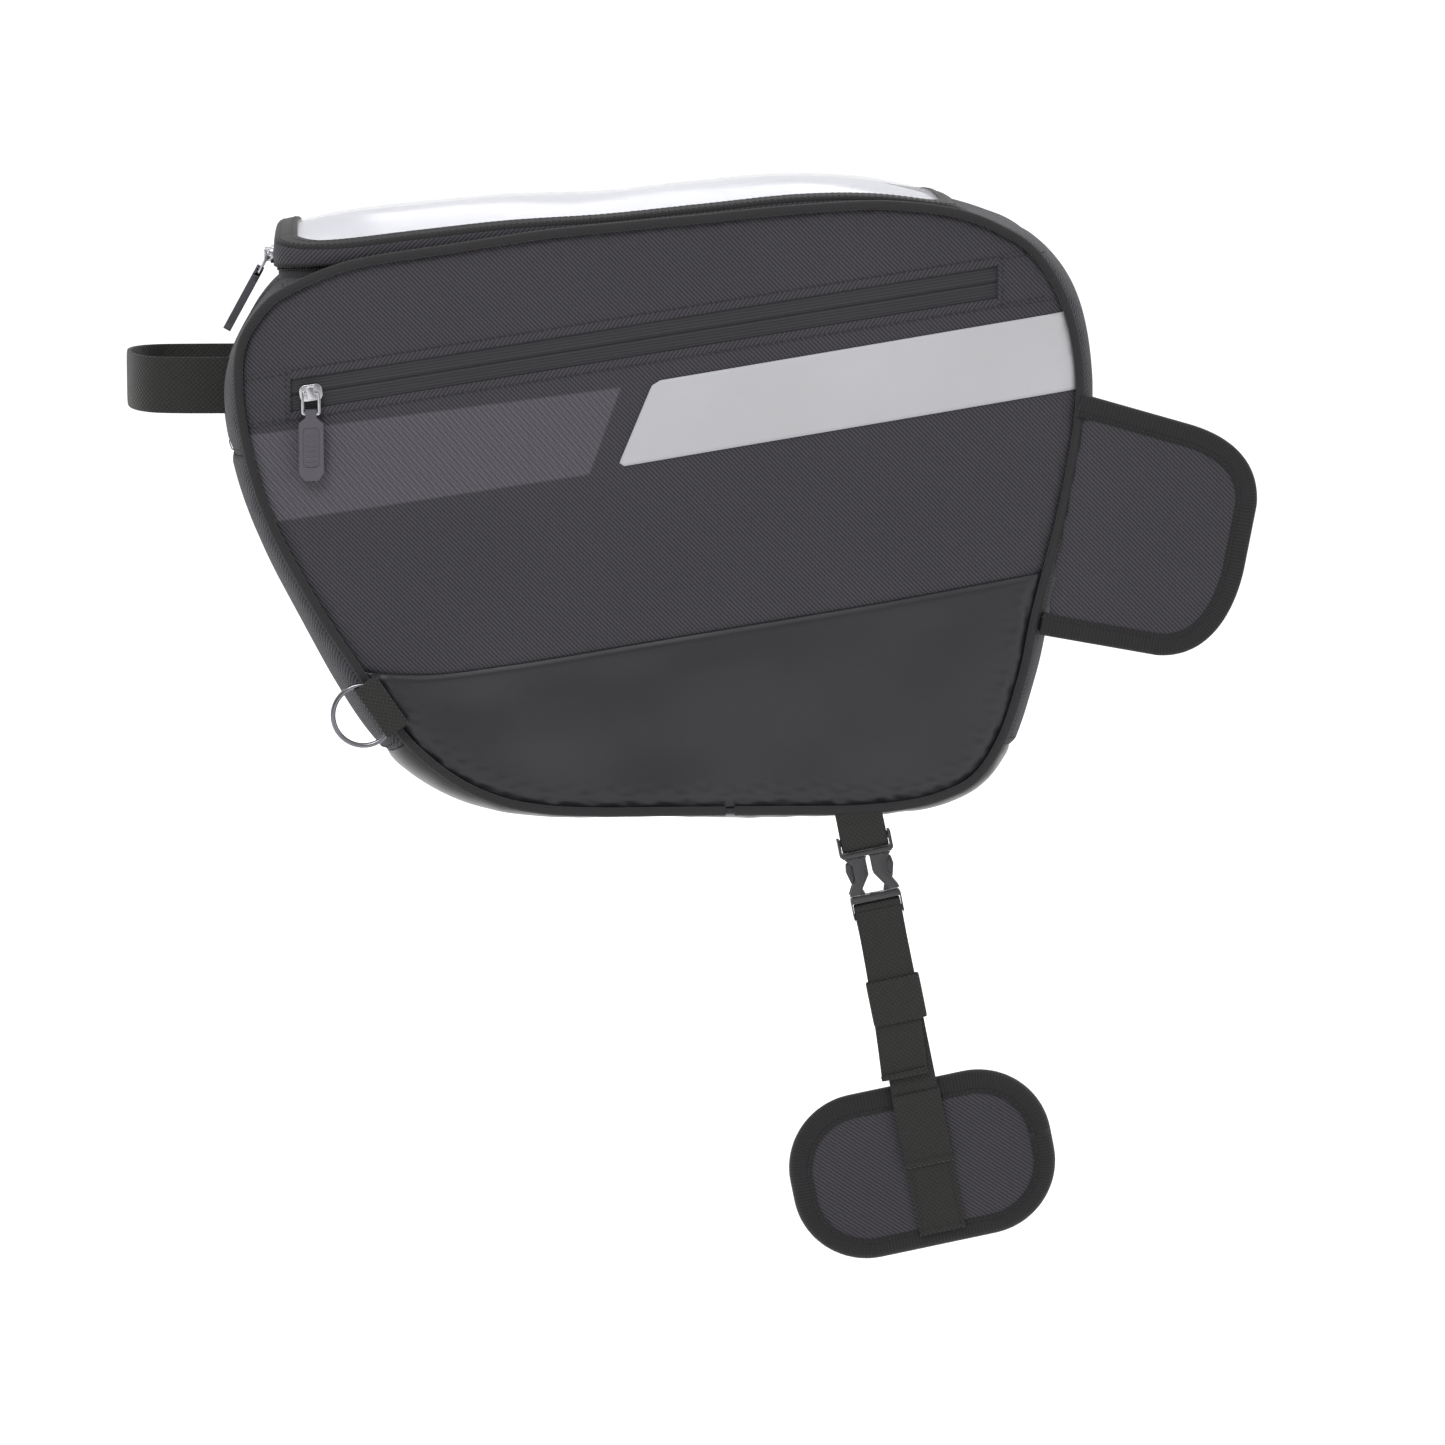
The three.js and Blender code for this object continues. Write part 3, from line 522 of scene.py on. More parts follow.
@dataclass(frozen=True)
class Cloth:
    """A woven or coated textile.

    Attributes:
        name: the material's name.
        colour: sRGB hex of the lit cloth.
        pitch_mm: distance between the threads or ribs.
        threads: how they cross.
        roughness: surface roughness.
        relief_mm: height of the thread bump.
        contrast: how much darker the gaps between threads are.
        sheen: fuzz seen at grazing angles.
        mottle_and_painted_highlight: strength of slow colour changes over the cloth: a random tone when small, and
            painted soft highlights when large, as on the coated cloth.
    """

    name: str
    colour: str
    pitch_mm: float
    threads: Threads
    roughness: float = 0.85
    relief_mm: float = 0.12
    contrast: float = 0.35
    sheen: float = 0.15
    mottle_and_painted_highlight: float = 0.05
    use_weave: bool = True

    def pattern(self, tree: bpy.types.NodeTree) -> bpy.types.NodeSocket:
        """Build the thread height, 0 to 1.

        Args:
            tree: the material's node tree.

        Returns:
            The socket that carries the height.
        """
        if self.use_weave:
            place = add_node(tree, "ShaderNodeAttribute", {"attribute_name": "weave"}).outputs["Vector"]
        else:
            place = add_node(tree, "ShaderNodeTexCoord").outputs["Object"]
        turns = 2 * math.pi / (self.pitch_mm * MM)
        parts = add_node(tree, "ShaderNodeSeparateXYZ", Vector=place)
        waves = []
        for axis in ("X", "Y"):
            scaled = add_node(tree, "ShaderNodeMath", {"operation": "MULTIPLY"}, _0=parts.outputs[axis], _1=turns)
            waves.append(scaled.outputs[0])
        if self.threads is Threads.TWILL:
            lean = add_node(tree, "ShaderNodeMath", {"operation": "ADD"}, _0=waves[0], _1=waves[1])
            cross = add_node(tree, "ShaderNodeMath", {"operation": "MULTIPLY"}, _0=waves[0], _1=2.0)
            first = add_node(tree, "ShaderNodeMath", {"operation": "SINE"}, _0=lean.outputs[0])
            second = add_node(tree, "ShaderNodeMath", {"operation": "SINE"}, _0=cross.outputs[0])
            mixed = add_node(tree, "ShaderNodeMath", {"operation": "MULTIPLY_ADD"}, _0=second.outputs[0], _1=0.35)
            tree.links.new(first.outputs[0], mixed.inputs[2])
            height = mixed.outputs[0]
        elif self.threads is Threads.RIBBED:
            height = add_node(tree, "ShaderNodeMath", {"operation": "SINE"}, _0=waves[0]).outputs[0]
        elif self.threads is Threads.SMOOTH:
            grain = add_node(tree, "ShaderNodeTexNoise", Vector=place, Scale=1 / (self.pitch_mm * MM), Detail=3.0)
            height = add_node(
                tree, "ShaderNodeMath", {"operation": "MULTIPLY_ADD"}, _0=grain.outputs[0], _1=2.0, _2=-1.0
            ).outputs[0]
        else:
            sines = [add_node(tree, "ShaderNodeMath", {"operation": "SINE"}, _0=w).outputs[0] for w in waves]
            height = add_node(
                tree, "ShaderNodeMath", {"operation": "MULTIPLY"}, _0=sines[0], _1=sines[1]
            ).outputs[0]
        return add_node(tree, "ShaderNodeMath", {"operation": "MULTIPLY_ADD"}, _0=height, _1=0.5, _2=0.5).outputs[0]

    def tint(self, tree: bpy.types.NodeTree, height: bpy.types.NodeSocket) -> bpy.types.NodeSocket:
        """Colour the cloth: darker between the threads, with slow mottling that paints soft highlights when it is set
        strong.

        Args:
            tree: the material's nodes.
            height: how high the threads stand.

        Returns:
            The colour.
        """
        base = srgb(self.colour)
        dark = tuple(c * (1 - self.contrast) for c in base[:3]) + (1.0,)
        light = tuple(min(1.0, c * (1 + self.contrast * 0.45)) for c in base[:3]) + (1.0,)
        place = add_node(tree, "ShaderNodeTexCoord").outputs["Object"]
        threads = add_node(tree, "ShaderNodeMix", {"data_type": "RGBA"}, _0=height, _6=dark, _7=light)
        # Slow noise: a random tone on most cloths, and painted soft highlights where the mottle is set strong, as on
        # the coated cloth.
        mottle_and_highlight_noise = add_node(tree, "ShaderNodeTexNoise", Vector=place, Scale=9.0, Detail=4.0, Roughness=0.55)
        slow = add_node(
            tree, "ShaderNodeMapRange", {"interpolation_type": "SMOOTHSTEP"}, _0=mottle_and_highlight_noise.outputs[0], _1=0.3, _2=0.7
        )
        slow.inputs[3].default_value = 1 - self.mottle_and_painted_highlight
        slow.inputs[4].default_value = 1 + self.mottle_and_painted_highlight
        scaled = add_node(tree, "ShaderNodeVectorMath", {"operation": "SCALE"}, _0=threads.outputs[2])
        tree.links.new(slow.outputs[0], scaled.inputs["Scale"])
        return scaled.outputs[0]

    def finish(self, tree: bpy.types.NodeTree, colour: bpy.types.NodeSocket, height: bpy.types.NodeSocket) -> None:
        """Join colour and relief to the shader.

        Args:
            tree: the material's nodes.
            colour: the cloth's colour.
            height: how high the threads stand.
        """
        bump = add_node(tree, "ShaderNodeBump", Height=height, Strength=0.9, Distance=self.relief_mm * MM)
        fluff = add_node(tree, "ShaderNodeTexNoise", Scale=900.0, Detail=2.0)
        place = add_node(tree, "ShaderNodeTexCoord").outputs["Object"]
        tree.links.new(place, fluff.inputs["Vector"])
        fine = add_node(tree, "ShaderNodeBump", Height=fluff.outputs[0], Strength=0.35, Distance=0.00012)
        tree.links.new(bump.outputs[0], fine.inputs["Normal"])
        shader = add_node(
            tree,
            "ShaderNodeBsdfPrincipled",
            Base_Color=colour,
            Roughness=self.roughness,
            Sheen_Weight=self.sheen,
            Sheen_Roughness=0.45,
            Normal=fine.outputs[0],
        )
        shader.inputs["Specular IOR Level"].default_value = 0.3
        add_node(tree, "ShaderNodeOutputMaterial", Surface=shader.outputs[0])

    def material(self) -> bpy.types.Material:
        """Build the cloth's material.

        Returns:
            The material.
        """
        made = bpy.data.materials.new(self.name)
        made.use_nodes = True
        made.node_tree.nodes.clear()
        height = self.pattern(made.node_tree)
        self.finish(made.node_tree, self.tint(made.node_tree, height), height)
        return made


@dataclass(frozen=True)
class PrintedCloth(Cloth):
    """Woven cloth with a lighter printed patch of fine slanted ribs.

    Attributes:
        print_colour: sRGB hex of the ink.
        edges: the patch's sides, each a point and an inward direction in x and z, in metres.
        rib_mm: distance between the printed ribs.
    """

    print_colour: str = "514f55"
    edges: tuple = ()
    rib_mm: float = 3.0

    def tint(self, tree: bpy.types.NodeTree, height: bpy.types.NodeSocket) -> bpy.types.NodeSocket:
        """Colour the cloth, then lay the ink over it inside the patch.

        Args:
            tree: the material's nodes.
            height: how high the threads stand.

        Returns:
            The colour.
        """
        ground = super().tint(tree, height)
        place = add_node(tree, "ShaderNodeTexCoord").outputs["Object"]
        mask = None
        for (x, z), (dx, dz) in self.edges:
            size = math.hypot(dx, dz)
            inward = (dx / size, 0.0, dz / size)
            reach = x * inward[0] + z * inward[2]
            dot = add_node(tree, "ShaderNodeVectorMath", {"operation": "DOT_PRODUCT"}, _0=place, _1=inward)
            side = add_node(
                tree, "ShaderNodeMapRange", {}, _0=dot.outputs["Value"], _1=reach - 0.0006, _2=reach + 0.0006
            )
            if mask is None:
                mask = side.outputs[0]
            else:
                both = add_node(tree, "ShaderNodeMath", {"operation": "MULTIPLY"}, _0=mask, _1=side.outputs[0])
                mask = both.outputs[0]
        lean = add_node(tree, "ShaderNodeVectorMath", {"operation": "DOT_PRODUCT"}, _0=place, _1=(0.8, 0.0, 0.6))
        turns = 2 * math.pi / (self.rib_mm * MM)
        wave = add_node(tree, "ShaderNodeMath", {"operation": "MULTIPLY"}, _0=lean.outputs["Value"], _1=turns)
        rib = add_node(tree, "ShaderNodeMath", {"operation": "SINE"}, _0=wave.outputs[0])
        ink = add_node(tree, "ShaderNodeMath", {"operation": "MULTIPLY_ADD"}, _0=rib.outputs[0], _1=0.16, _2=0.72)
        cover = add_node(tree, "ShaderNodeMath", {"operation": "MULTIPLY"}, _0=mask, _1=ink.outputs[0])
        weave = add_node(tree, "ShaderNodeMath", {"operation": "MULTIPLY_ADD"}, _0=height, _1=0.5, _2=0.6)
        worn = add_node(tree, "ShaderNodeMath", {"operation": "MULTIPLY"}, _0=cover.outputs[0], _1=weave.outputs[0])
        laid = add_node(
            tree, "ShaderNodeMix", {"data_type": "RGBA"}, _0=worn.outputs[0], _6=ground, _7=srgb(self.print_colour)
        )
        return laid.outputs[2]


@dataclass(frozen=True)
class Hard:
    """A moulded or plated hard finish.

    Attributes:
        name: the material's name.
        colour: sRGB hex.
        roughness: base roughness.
        metallic: 1 for bare metal.
        grain_mm: size of the surface's fine unevenness.
        relief_mm: its height.
        spread: how far the roughness varies.
    """

    name: str
    colour: str
    roughness: float
    metallic: float = 0.0
    grain_mm: float = 0.8
    relief_mm: float = 0.01
    spread: float = 0.08

    def material(self) -> bpy.types.Material:
        """Build the finish's material.

        Returns:
            The material.
        """
        made = bpy.data.materials.new(self.name)
        made.use_nodes = True
        tree = made.node_tree
        tree.nodes.clear()
        place = add_node(tree, "ShaderNodeTexCoord").outputs["Object"]
        grain = add_node(tree, "ShaderNodeTexNoise", Vector=place, Scale=1 / (self.grain_mm * MM), Detail=4.0)
        wear = add_node(tree, "ShaderNodeTexNoise", Vector=place, Scale=180.0, Detail=3.0)
        rough = add_node(tree, "ShaderNodeMapRange", {}, _0=wear.outputs[0], _1=0.3, _2=0.7)
        rough.inputs[3].default_value = max(0.04, self.roughness - self.spread)
        rough.inputs[4].default_value = self.roughness + self.spread
        bump = add_node(tree, "ShaderNodeBump", Height=grain.outputs[0], Strength=0.6, Distance=self.relief_mm * MM)
        base = srgb(self.colour)
        dark = tuple(c * 0.86 for c in base[:3]) + (1.0,)
        tone = add_node(tree, "ShaderNodeMix", {"data_type": "RGBA"}, _0=wear.outputs[0], _6=dark, _7=base)
        shader = add_node(
            tree,
            "ShaderNodeBsdfPrincipled",
            Base_Color=tone.outputs[2],
            Metallic=self.metallic,
            Roughness=rough.outputs[0],
            Normal=bump.outputs[0],
        )
        add_node(tree, "ShaderNodeOutputMaterial", Surface=shader.outputs[0])
        return made


@dataclass(frozen=True)
class MilkyFilmWithPaintedGlare:
    """Soft clear vinyl: glossy and thin, so mostly what lies under it shows; its pale colour over a quarter of the view
    is painted glare that whitens the window.
    """

    name: str = "clear_vinyl_film_painted_glare"
    # Pale grey-white colour at a quarter cover: painted glare of the glossy film.
    colour: str = "c9cacf"
    roughness: float = 0.12
    cover: float = 0.25

    def material(self) -> bpy.types.Material:
        """Build the film's material.

        Returns:
            The material.
        """
        made = bpy.data.materials.new(self.name)
        made.use_nodes = True
        tree = made.node_tree
        tree.nodes.clear()
        place = add_node(tree, "ShaderNodeTexCoord").outputs["Object"]
        ripple = add_node(tree, "ShaderNodeTexNoise", Vector=place, Scale=14.0, Detail=0.5)
        bump = add_node(tree, "ShaderNodeBump", Height=ripple.outputs[0], Strength=0.4, Distance=0.0012)
        haze = add_node(tree, "ShaderNodeMapRange", {}, _0=ripple.outputs[0], _1=0.3, _2=0.7)
        haze.inputs[3].default_value = self.roughness
        haze.inputs[4].default_value = self.roughness * 2
        shader = add_node(
            tree,
            "ShaderNodeBsdfPrincipled",
            Base_Color=srgb(self.colour),
            Roughness=haze.outputs[0],
            Alpha=self.cover,
            IOR=1.5,
            Normal=bump.outputs[0],
        )
        add_node(tree, "ShaderNodeOutputMaterial", Surface=shader.outputs[0])
        return made


# The patch printed on the side wall: lower left corner, lower right corner, upper edge and right-hand end.
PRINT_EDGES = (
    ((-0.1288, 0.1777), (-0.147, 1.0)),
    ((-0.1288, 0.2228), (0.125, -1.0)),
    ((-0.0505, 0.2095), (-1.0, 0.366)),
)


class Finishes:
    """Every material of the bag, built once."""

    def __init__(self) -> None:
        """Build the materials."""
        # 600-denier polyester: coarse matt threads whose steps make slanting lines. The real thread is 1.3 mm from
        # line to line, drawn here at twice that so that it shows.
        self.woven = Cloth("polyester_600_denier", "353338", 2.5, Threads.TWILL, 0.9, 0.35, 0.55, 0.08).material()
        self.printed = PrintedCloth(
            "polyester_600_denier_printed", "353338", 2.5, Threads.TWILL, 0.9, 0.35, 0.55, 0.08, edges=PRINT_EDGES
        ).material()
        # Vinyl-coated cloth: smooth and black, with a low broad sheen and a faint leather-like grain. Its strong slow
        # mottle paints soft broad highlights into the colour.
        self.coated = Cloth("vinyl_coated_cloth", "212124", 0.9, Threads.SMOOTH, 0.34, 0.04, 0.1, 0.0, 0.16).material()
        # Bias strip sewn over a cord: the same cloth, its threads slanting round the cord.
        self.piping = Cloth("bias_piping_cloth", "201f21", 1.6, Threads.TWILL, 0.8, 0.15, 0.45, 0.1).material()
        # Zip tape: fine ribs along the tape.
        self.tape = Cloth("woven_zip_tape", "28272a", 1.6, Threads.RIBBED, 0.8, 0.12, 0.35, 0.08).material()
        # Glass-bead film on cloth: pale grey, even and softly shiny.
        self.reflective = Cloth(
            "glass_bead_reflective_film", "9d9da0", 0.6, Threads.SMOOTH, 0.42, 0.02, 0.06, 0.0, 0.03
        ).material()
        # Grosgrain edge binding: ribs run across the tape.
        self.binding = Cloth("grosgrain_binding", "1c1a1c", 1.8, Threads.RIBBED, 0.85, 0.15, 0.4, 0.1).material()
        # Nylon webbing: a bold plain weave, drawn a little coarse.
        self.webbing = Cloth("nylon_webbing", "21201f", 2.6, Threads.PLAIN, 0.8, 0.4, 0.5, 0.1).material()
        # Lining: thin, finer and greyer than the outer cloth.
        self.lining = Cloth("polyester_lining", "3c3c40", 1.4, Threads.PLAIN, 0.9, 0.08, 0.25, 0.1).material()
        # Map backing: a real sheet under the window. Its pale tone is set so that the window shows as white as the
        # film's glare, a painted reflection.
        self.backing = Cloth(
            "pocket_backing_pale_painted_glare", "bfbfc6", 1.6, Threads.SMOOTH, 0.75, 0.004, 0.015, 0.0, 0.01
        ).material()
        self.thread = Cloth("bonded_sewing_thread", "161517", 0.4, Threads.SMOOTH, 0.6, 0.03, 0.2, 0.1).material()
        self.coil = Hard("nylon_zip_coil", "2b2a2d", 0.42).material()
        self.nickel = Hard("nickel_plated_zinc", "b9b9bd", 0.18, 1.0, 2.0, 0.01, 0.05).material()
        self.dark_nickel = Hard("black_nickel_wire", "6f6f74", 0.22, 1.0, 2.0, 0.01, 0.05).material()
        self.rubber = Hard("moulded_soft_rubber", "413f46", 0.55, 0.0, 0.5, 0.03).material()
        self.acetal = Hard("moulded_acetal", "232225", 0.28, 0.0, 0.7, 0.012).material()
        self.board = Hard("polypropylene_board", "232325", 0.55, 0.0, 1.2, 0.03).material()
        # Clear film whose pale colour is painted glare.
        self.film = MilkyFilmWithPaintedGlare().material()


# ------------------------------------------------------------------ repeated details
class BeadRun:
    """Geometry Nodes tree that lays stitches or zip coils along a path."""

    def __init__(self) -> None:
        """Build the node tree once, with named inputs for its sizes."""
        tree = bpy.data.node_groups.new("bead_run", "GeometryNodeTree")
        sockets = [
            ("Path", "NodeSocketGeometry"),
            ("Spacing", "NodeSocketFloat"),
            ("Bead size", "NodeSocketVector"),
            ("Outward", "NodeSocketVector"),
            ("Material", "NodeSocketMaterial"),
        ]
        for name, kind in sockets:
            tree.interface.new_socket(name, in_out="INPUT", socket_type=kind)
        tree.interface.new_socket("Geometry", in_out="OUTPUT", socket_type="NodeSocketGeometry")
        source = add_node(tree, "NodeGroupInput")
        curve = add_node(tree, "GeometryNodeMeshToCurve", Mesh=source.outputs["Path"])
        even = add_node(
            tree,
            "GeometryNodeResampleCurve",
            {"mode": "LENGTH"},
            Curve=curve.outputs[0],
            Length=source.outputs["Spacing"],
        )
        bead = add_node(tree, "GeometryNodeMeshUVSphere", Segments=6, Rings=4, Radius=0.5)
        shaped = add_node(tree, "GeometryNodeTransform", Geometry=bead.outputs[0], Scale=source.outputs["Bead size"])
        tangent = add_node(tree, "GeometryNodeInputTangent")
        along = add_node(tree, "FunctionNodeAlignRotationToVector", {"axis": "X"}, Vector=tangent.outputs[0])
        facing = add_node(
            tree,
            "FunctionNodeAlignRotationToVector",
            {"axis": "Z", "pivot_axis": "X"},
            Rotation=along.outputs[0],
            Vector=source.outputs["Outward"],
        )
        placed = add_node(
            tree,
            "GeometryNodeInstanceOnPoints",
            Points=even.outputs[0],
            Instance=shaped.outputs[0],
            Rotation=facing.outputs[0],
        )
        real = add_node(tree, "GeometryNodeRealizeInstances", Geometry=placed.outputs[0])
        dressed = add_node(
            tree, "GeometryNodeSetMaterial", Geometry=real.outputs[0], Material=source.outputs["Material"]
        )
        add_node(tree, "NodeGroupOutput", Geometry=dressed.outputs[0])
        self.tree = tree

    def run(
        self,
        name: str,
        paths: list[np.ndarray],
        outward: tuple[float, float, float],
        material: bpy.types.Material,
        spacing_mm: float = 3.2,
        size_mm: tuple[float, float, float] = (2.4, 0.75, 0.6),
    ) -> bpy.types.Object:
        """Lay beads along paths.

        Args:
            name: the piece's name.
            paths: open polylines on the cloth's surface.
            outward: roughly the way the cloth faces.
            material: the beads' material.
            spacing_mm: distance from bead to bead.
            size_mm: a bead's length, width and height.

        Returns:
            A plain mesh of all the beads.
        """
        mesh = bpy.data.meshes.new(name)
        points = np.vstack(paths)
        edges, start = [], 0
        for path in paths:
            edges += [(start + i, start + i + 1) for i in range(len(path) - 1)]
            start += len(path)
        mesh.from_pydata(points.tolist(), edges, [])
        made = bpy.data.objects.new(name, mesh)
        bpy.context.scene.collection.objects.link(made)
        maker = made.modifiers.new("beads", "NODES")
        maker.node_group = self.tree
        values = {
            "Spacing": spacing_mm * MM,
            "Bead size": [s * MM for s in size_mm],
            "Outward": list(outward),
            "Material": material,
        }
        for item in self.tree.interface.items_tree:
            if item.item_type == "SOCKET" and item.name in values:
                maker[item.identifier] = values[item.name]
        bake_modifiers(made)
        made.data.polygons.foreach_set("use_smooth", [True] * len(made.data.polygons))
        return made


# ------------------------------------------------------------------ the bag's lines, as in the CAD source
@dataclass
class Outline:
    """The piping line seen from the side, with the gusset's bulge beyond it: x, z, bulge in millimetres."""

    half_width: float = 95 * MM
    points_mm: tuple = (
        (160, 44, 12), (146, 24, 11), (127, 14.5, 10), (106, 10, 8.5), (78, 8, 8), (52, 8, 8), (22, 8, 8),
        (-22, 8, 8), (-52, 8, 8), (-82, 9.5, 9), (-105, 14, 11), (-129, 25, 14),
        (-155, 47, 17), (-178, 81, 17), (-202, 118, 14), (-226, 164, 12),
        (-237, 199, 11), (-242, 236, 9), (-239.5, 258, 4), (-226, 278, 3),
        (-215, 285.5, 3.5), (-186, 297.5, 4), (-129, 307, 4), (-78, 314.5, 4), (-37, 318.5, 4), (0, 322, 4),
        (53, 327, 4), (95, 329, 4), (125, 326.5, 3),
        (141, 323, 3), (158, 316, 5), (175, 305, 8), (192, 279, 11), (201, 235, 12), (195, 182, 12),
        (178, 110, 12), (172, 80, 12),
    )
    front_lower: int = 12
    front_upper: int = 16
    top: int = 20
    rear: int = 29

    def at(self, stations: np.ndarray) -> tuple[np.ndarray, np.ndarray, np.ndarray]:
        """Find points of the line.

        Args:
            stations: places on the line, where a whole number is a control point.

        Returns:
            The x and z of each point, its outward direction in x and z, and its bulge.
        """
        table = np.array(self.points_mm, float) * MM
        control = table[:, [0, 2, 1]]
        here = catmull(control, stations, True)
        step = catmull(control, stations + 1e-3, True) - catmull(control, stations - 1e-3, True)
        tangent = unit(step[:, [0, 2]])
        normal = np.stack([-tangent[:, 1], tangent[:, 0]], axis=1)
        return here[:, [0, 2]], normal, here[:, 1]

    @property
    def count(self) -> int:
        """How many control points the closed line has."""
        return len(self.points_mm)

    def loop(self, inset: float = 0.0, spacing: float = 2.0 * MM) -> np.ndarray:
        """Evenly spaced x, z points round the line, moved inwards by inset."""
        where, normal, _ = self.at(np.linspace(0, self.count, 1600, endpoint=False))
        return resample(where - normal * inset, spacing, closed=True)

    def distance(self, points: np.ndarray) -> np.ndarray:
        """Distance of x, z points from the line.

        Args:
            points: places in x and z.

        Returns:
            Each place's distance.
        """
        loop = self.loop(spacing=2.5 * MM)
        nearest = np.full(len(points), 9.0)
        for start in range(0, len(points), 4000):
            block = points[start : start + 4000]
            gaps = np.linalg.norm(block[:, None, :] - loop[None, :, :], axis=2)
            nearest[start : start + 4000] = gaps.min(axis=1)
        return nearest


OUTLINE = Outline()


@dataclass
class LidLines:
    """The lid's edge line, its dome and its skirt: x, z and dome in millimetres."""

    half: float = 89 * MM
    corner: float = 18 * MM
    edge_mm: tuple = (
        (-223, 308, 8), (-190, 308, 15), (-150, 312.5, 15), (-100, 318, 14), (-50, 321.5, 12), (0, 326.5, 12),
        (55, 332, 11), (95, 332.5, 8), (130, 328.5, 4), (139, 326.5, 2.5),
    )
    skirt_mm: tuple = (
        (-223, 297.5), (-190, 299), (-129, 307), (-78, 313.5), (-37, 316.3), (0, 320.3), (53, 325.2), (95, 327),
        (139, 321.5),
    )

    def _curve(self, table: tuple, x: np.ndarray) -> np.ndarray:
        """Read a curve that only runs forwards in x.

        Args:
            table: places that the curve goes through.
            x: where it is read.

        Returns:
            The other coordinates there.
        """
        control = np.array(table, float) * MM
        dense = catmull(control, np.linspace(0, len(control) - 1.001, 600), False)
        return np.stack([np.interp(x, dense[:, 0], dense[:, k]) for k in range(1, control.shape[1])], axis=-1)

    def top(self, x: np.ndarray, y: np.ndarray) -> np.ndarray:
        """Height of the lid's top face."""
        line = self._curve(self.edge_mm, x)
        return line[..., 0] + line[..., 1] * (1 - np.minimum(1, np.abs(y) / self.half) ** 2.4)

    def skirt(self, x: np.ndarray) -> np.ndarray:
        """Height of the skirt's lower edge."""
        return self._curve(self.skirt_mm, x)[..., 0]

    @property
    def front(self) -> float:
        """Front end of the lid."""
        return self.edge_mm[0][0] * MM

    @property
    def rear(self) -> float:
        """Rear end of the lid."""
        return self.edge_mm[-1][0] * MM

    def plan(self, inset: tuple[float, float, float], corner: float, spacing: float = 3 * MM) -> np.ndarray:
        """A rounded rectangle in x and y, inset at its front, sides and rear.

        Args:
            inset: distances inside the front, sides and rear.
            corner: radius of the corners.
            spacing: distance between points.

        Returns:
            Points of the plan.
        """
        front, rear = self.front + inset[0], self.rear - inset[2]
        half = self.half - inset[1]
        turn = np.linspace(0, math.pi / 2, 9)
        corners = [
            (front + corner, -half + corner, math.pi),
            (rear - corner, -half + corner, 1.5 * math.pi),
            (rear - corner, half - corner, 0.0),
            (front + corner, half - corner, 0.5 * math.pi),
        ]
        parts = [
            np.stack([x + corner * np.cos(a + turn), y + corner * np.sin(a + turn)], axis=1) for x, y, a in corners
        ]
        return resample(np.vstack(parts), spacing, closed=True)

    def open_path(self, inset: float, spacing: float = 3 * MM) -> np.ndarray:
        """The lid's plan from the near rear corner round the front to the far rear corner.

        Args:
            inset: distance inside the lid's edge.
            spacing: distance between points.

        Returns:
            Points of the path.
        """
        half, radius, front = self.half - inset, self.corner - inset, self.front + inset
        turn = np.linspace(0, math.pi / 2, 12)
        near = np.stack(
            [front + radius - radius * np.sin(turn), -half + radius - radius * np.cos(turn)], axis=1
        )
        start = np.array([[self.rear, -half]])
        path = np.vstack([start, near])
        return resample(np.vstack([path, path[::-1] * [1, -1]]), spacing)


LID = LidLines()


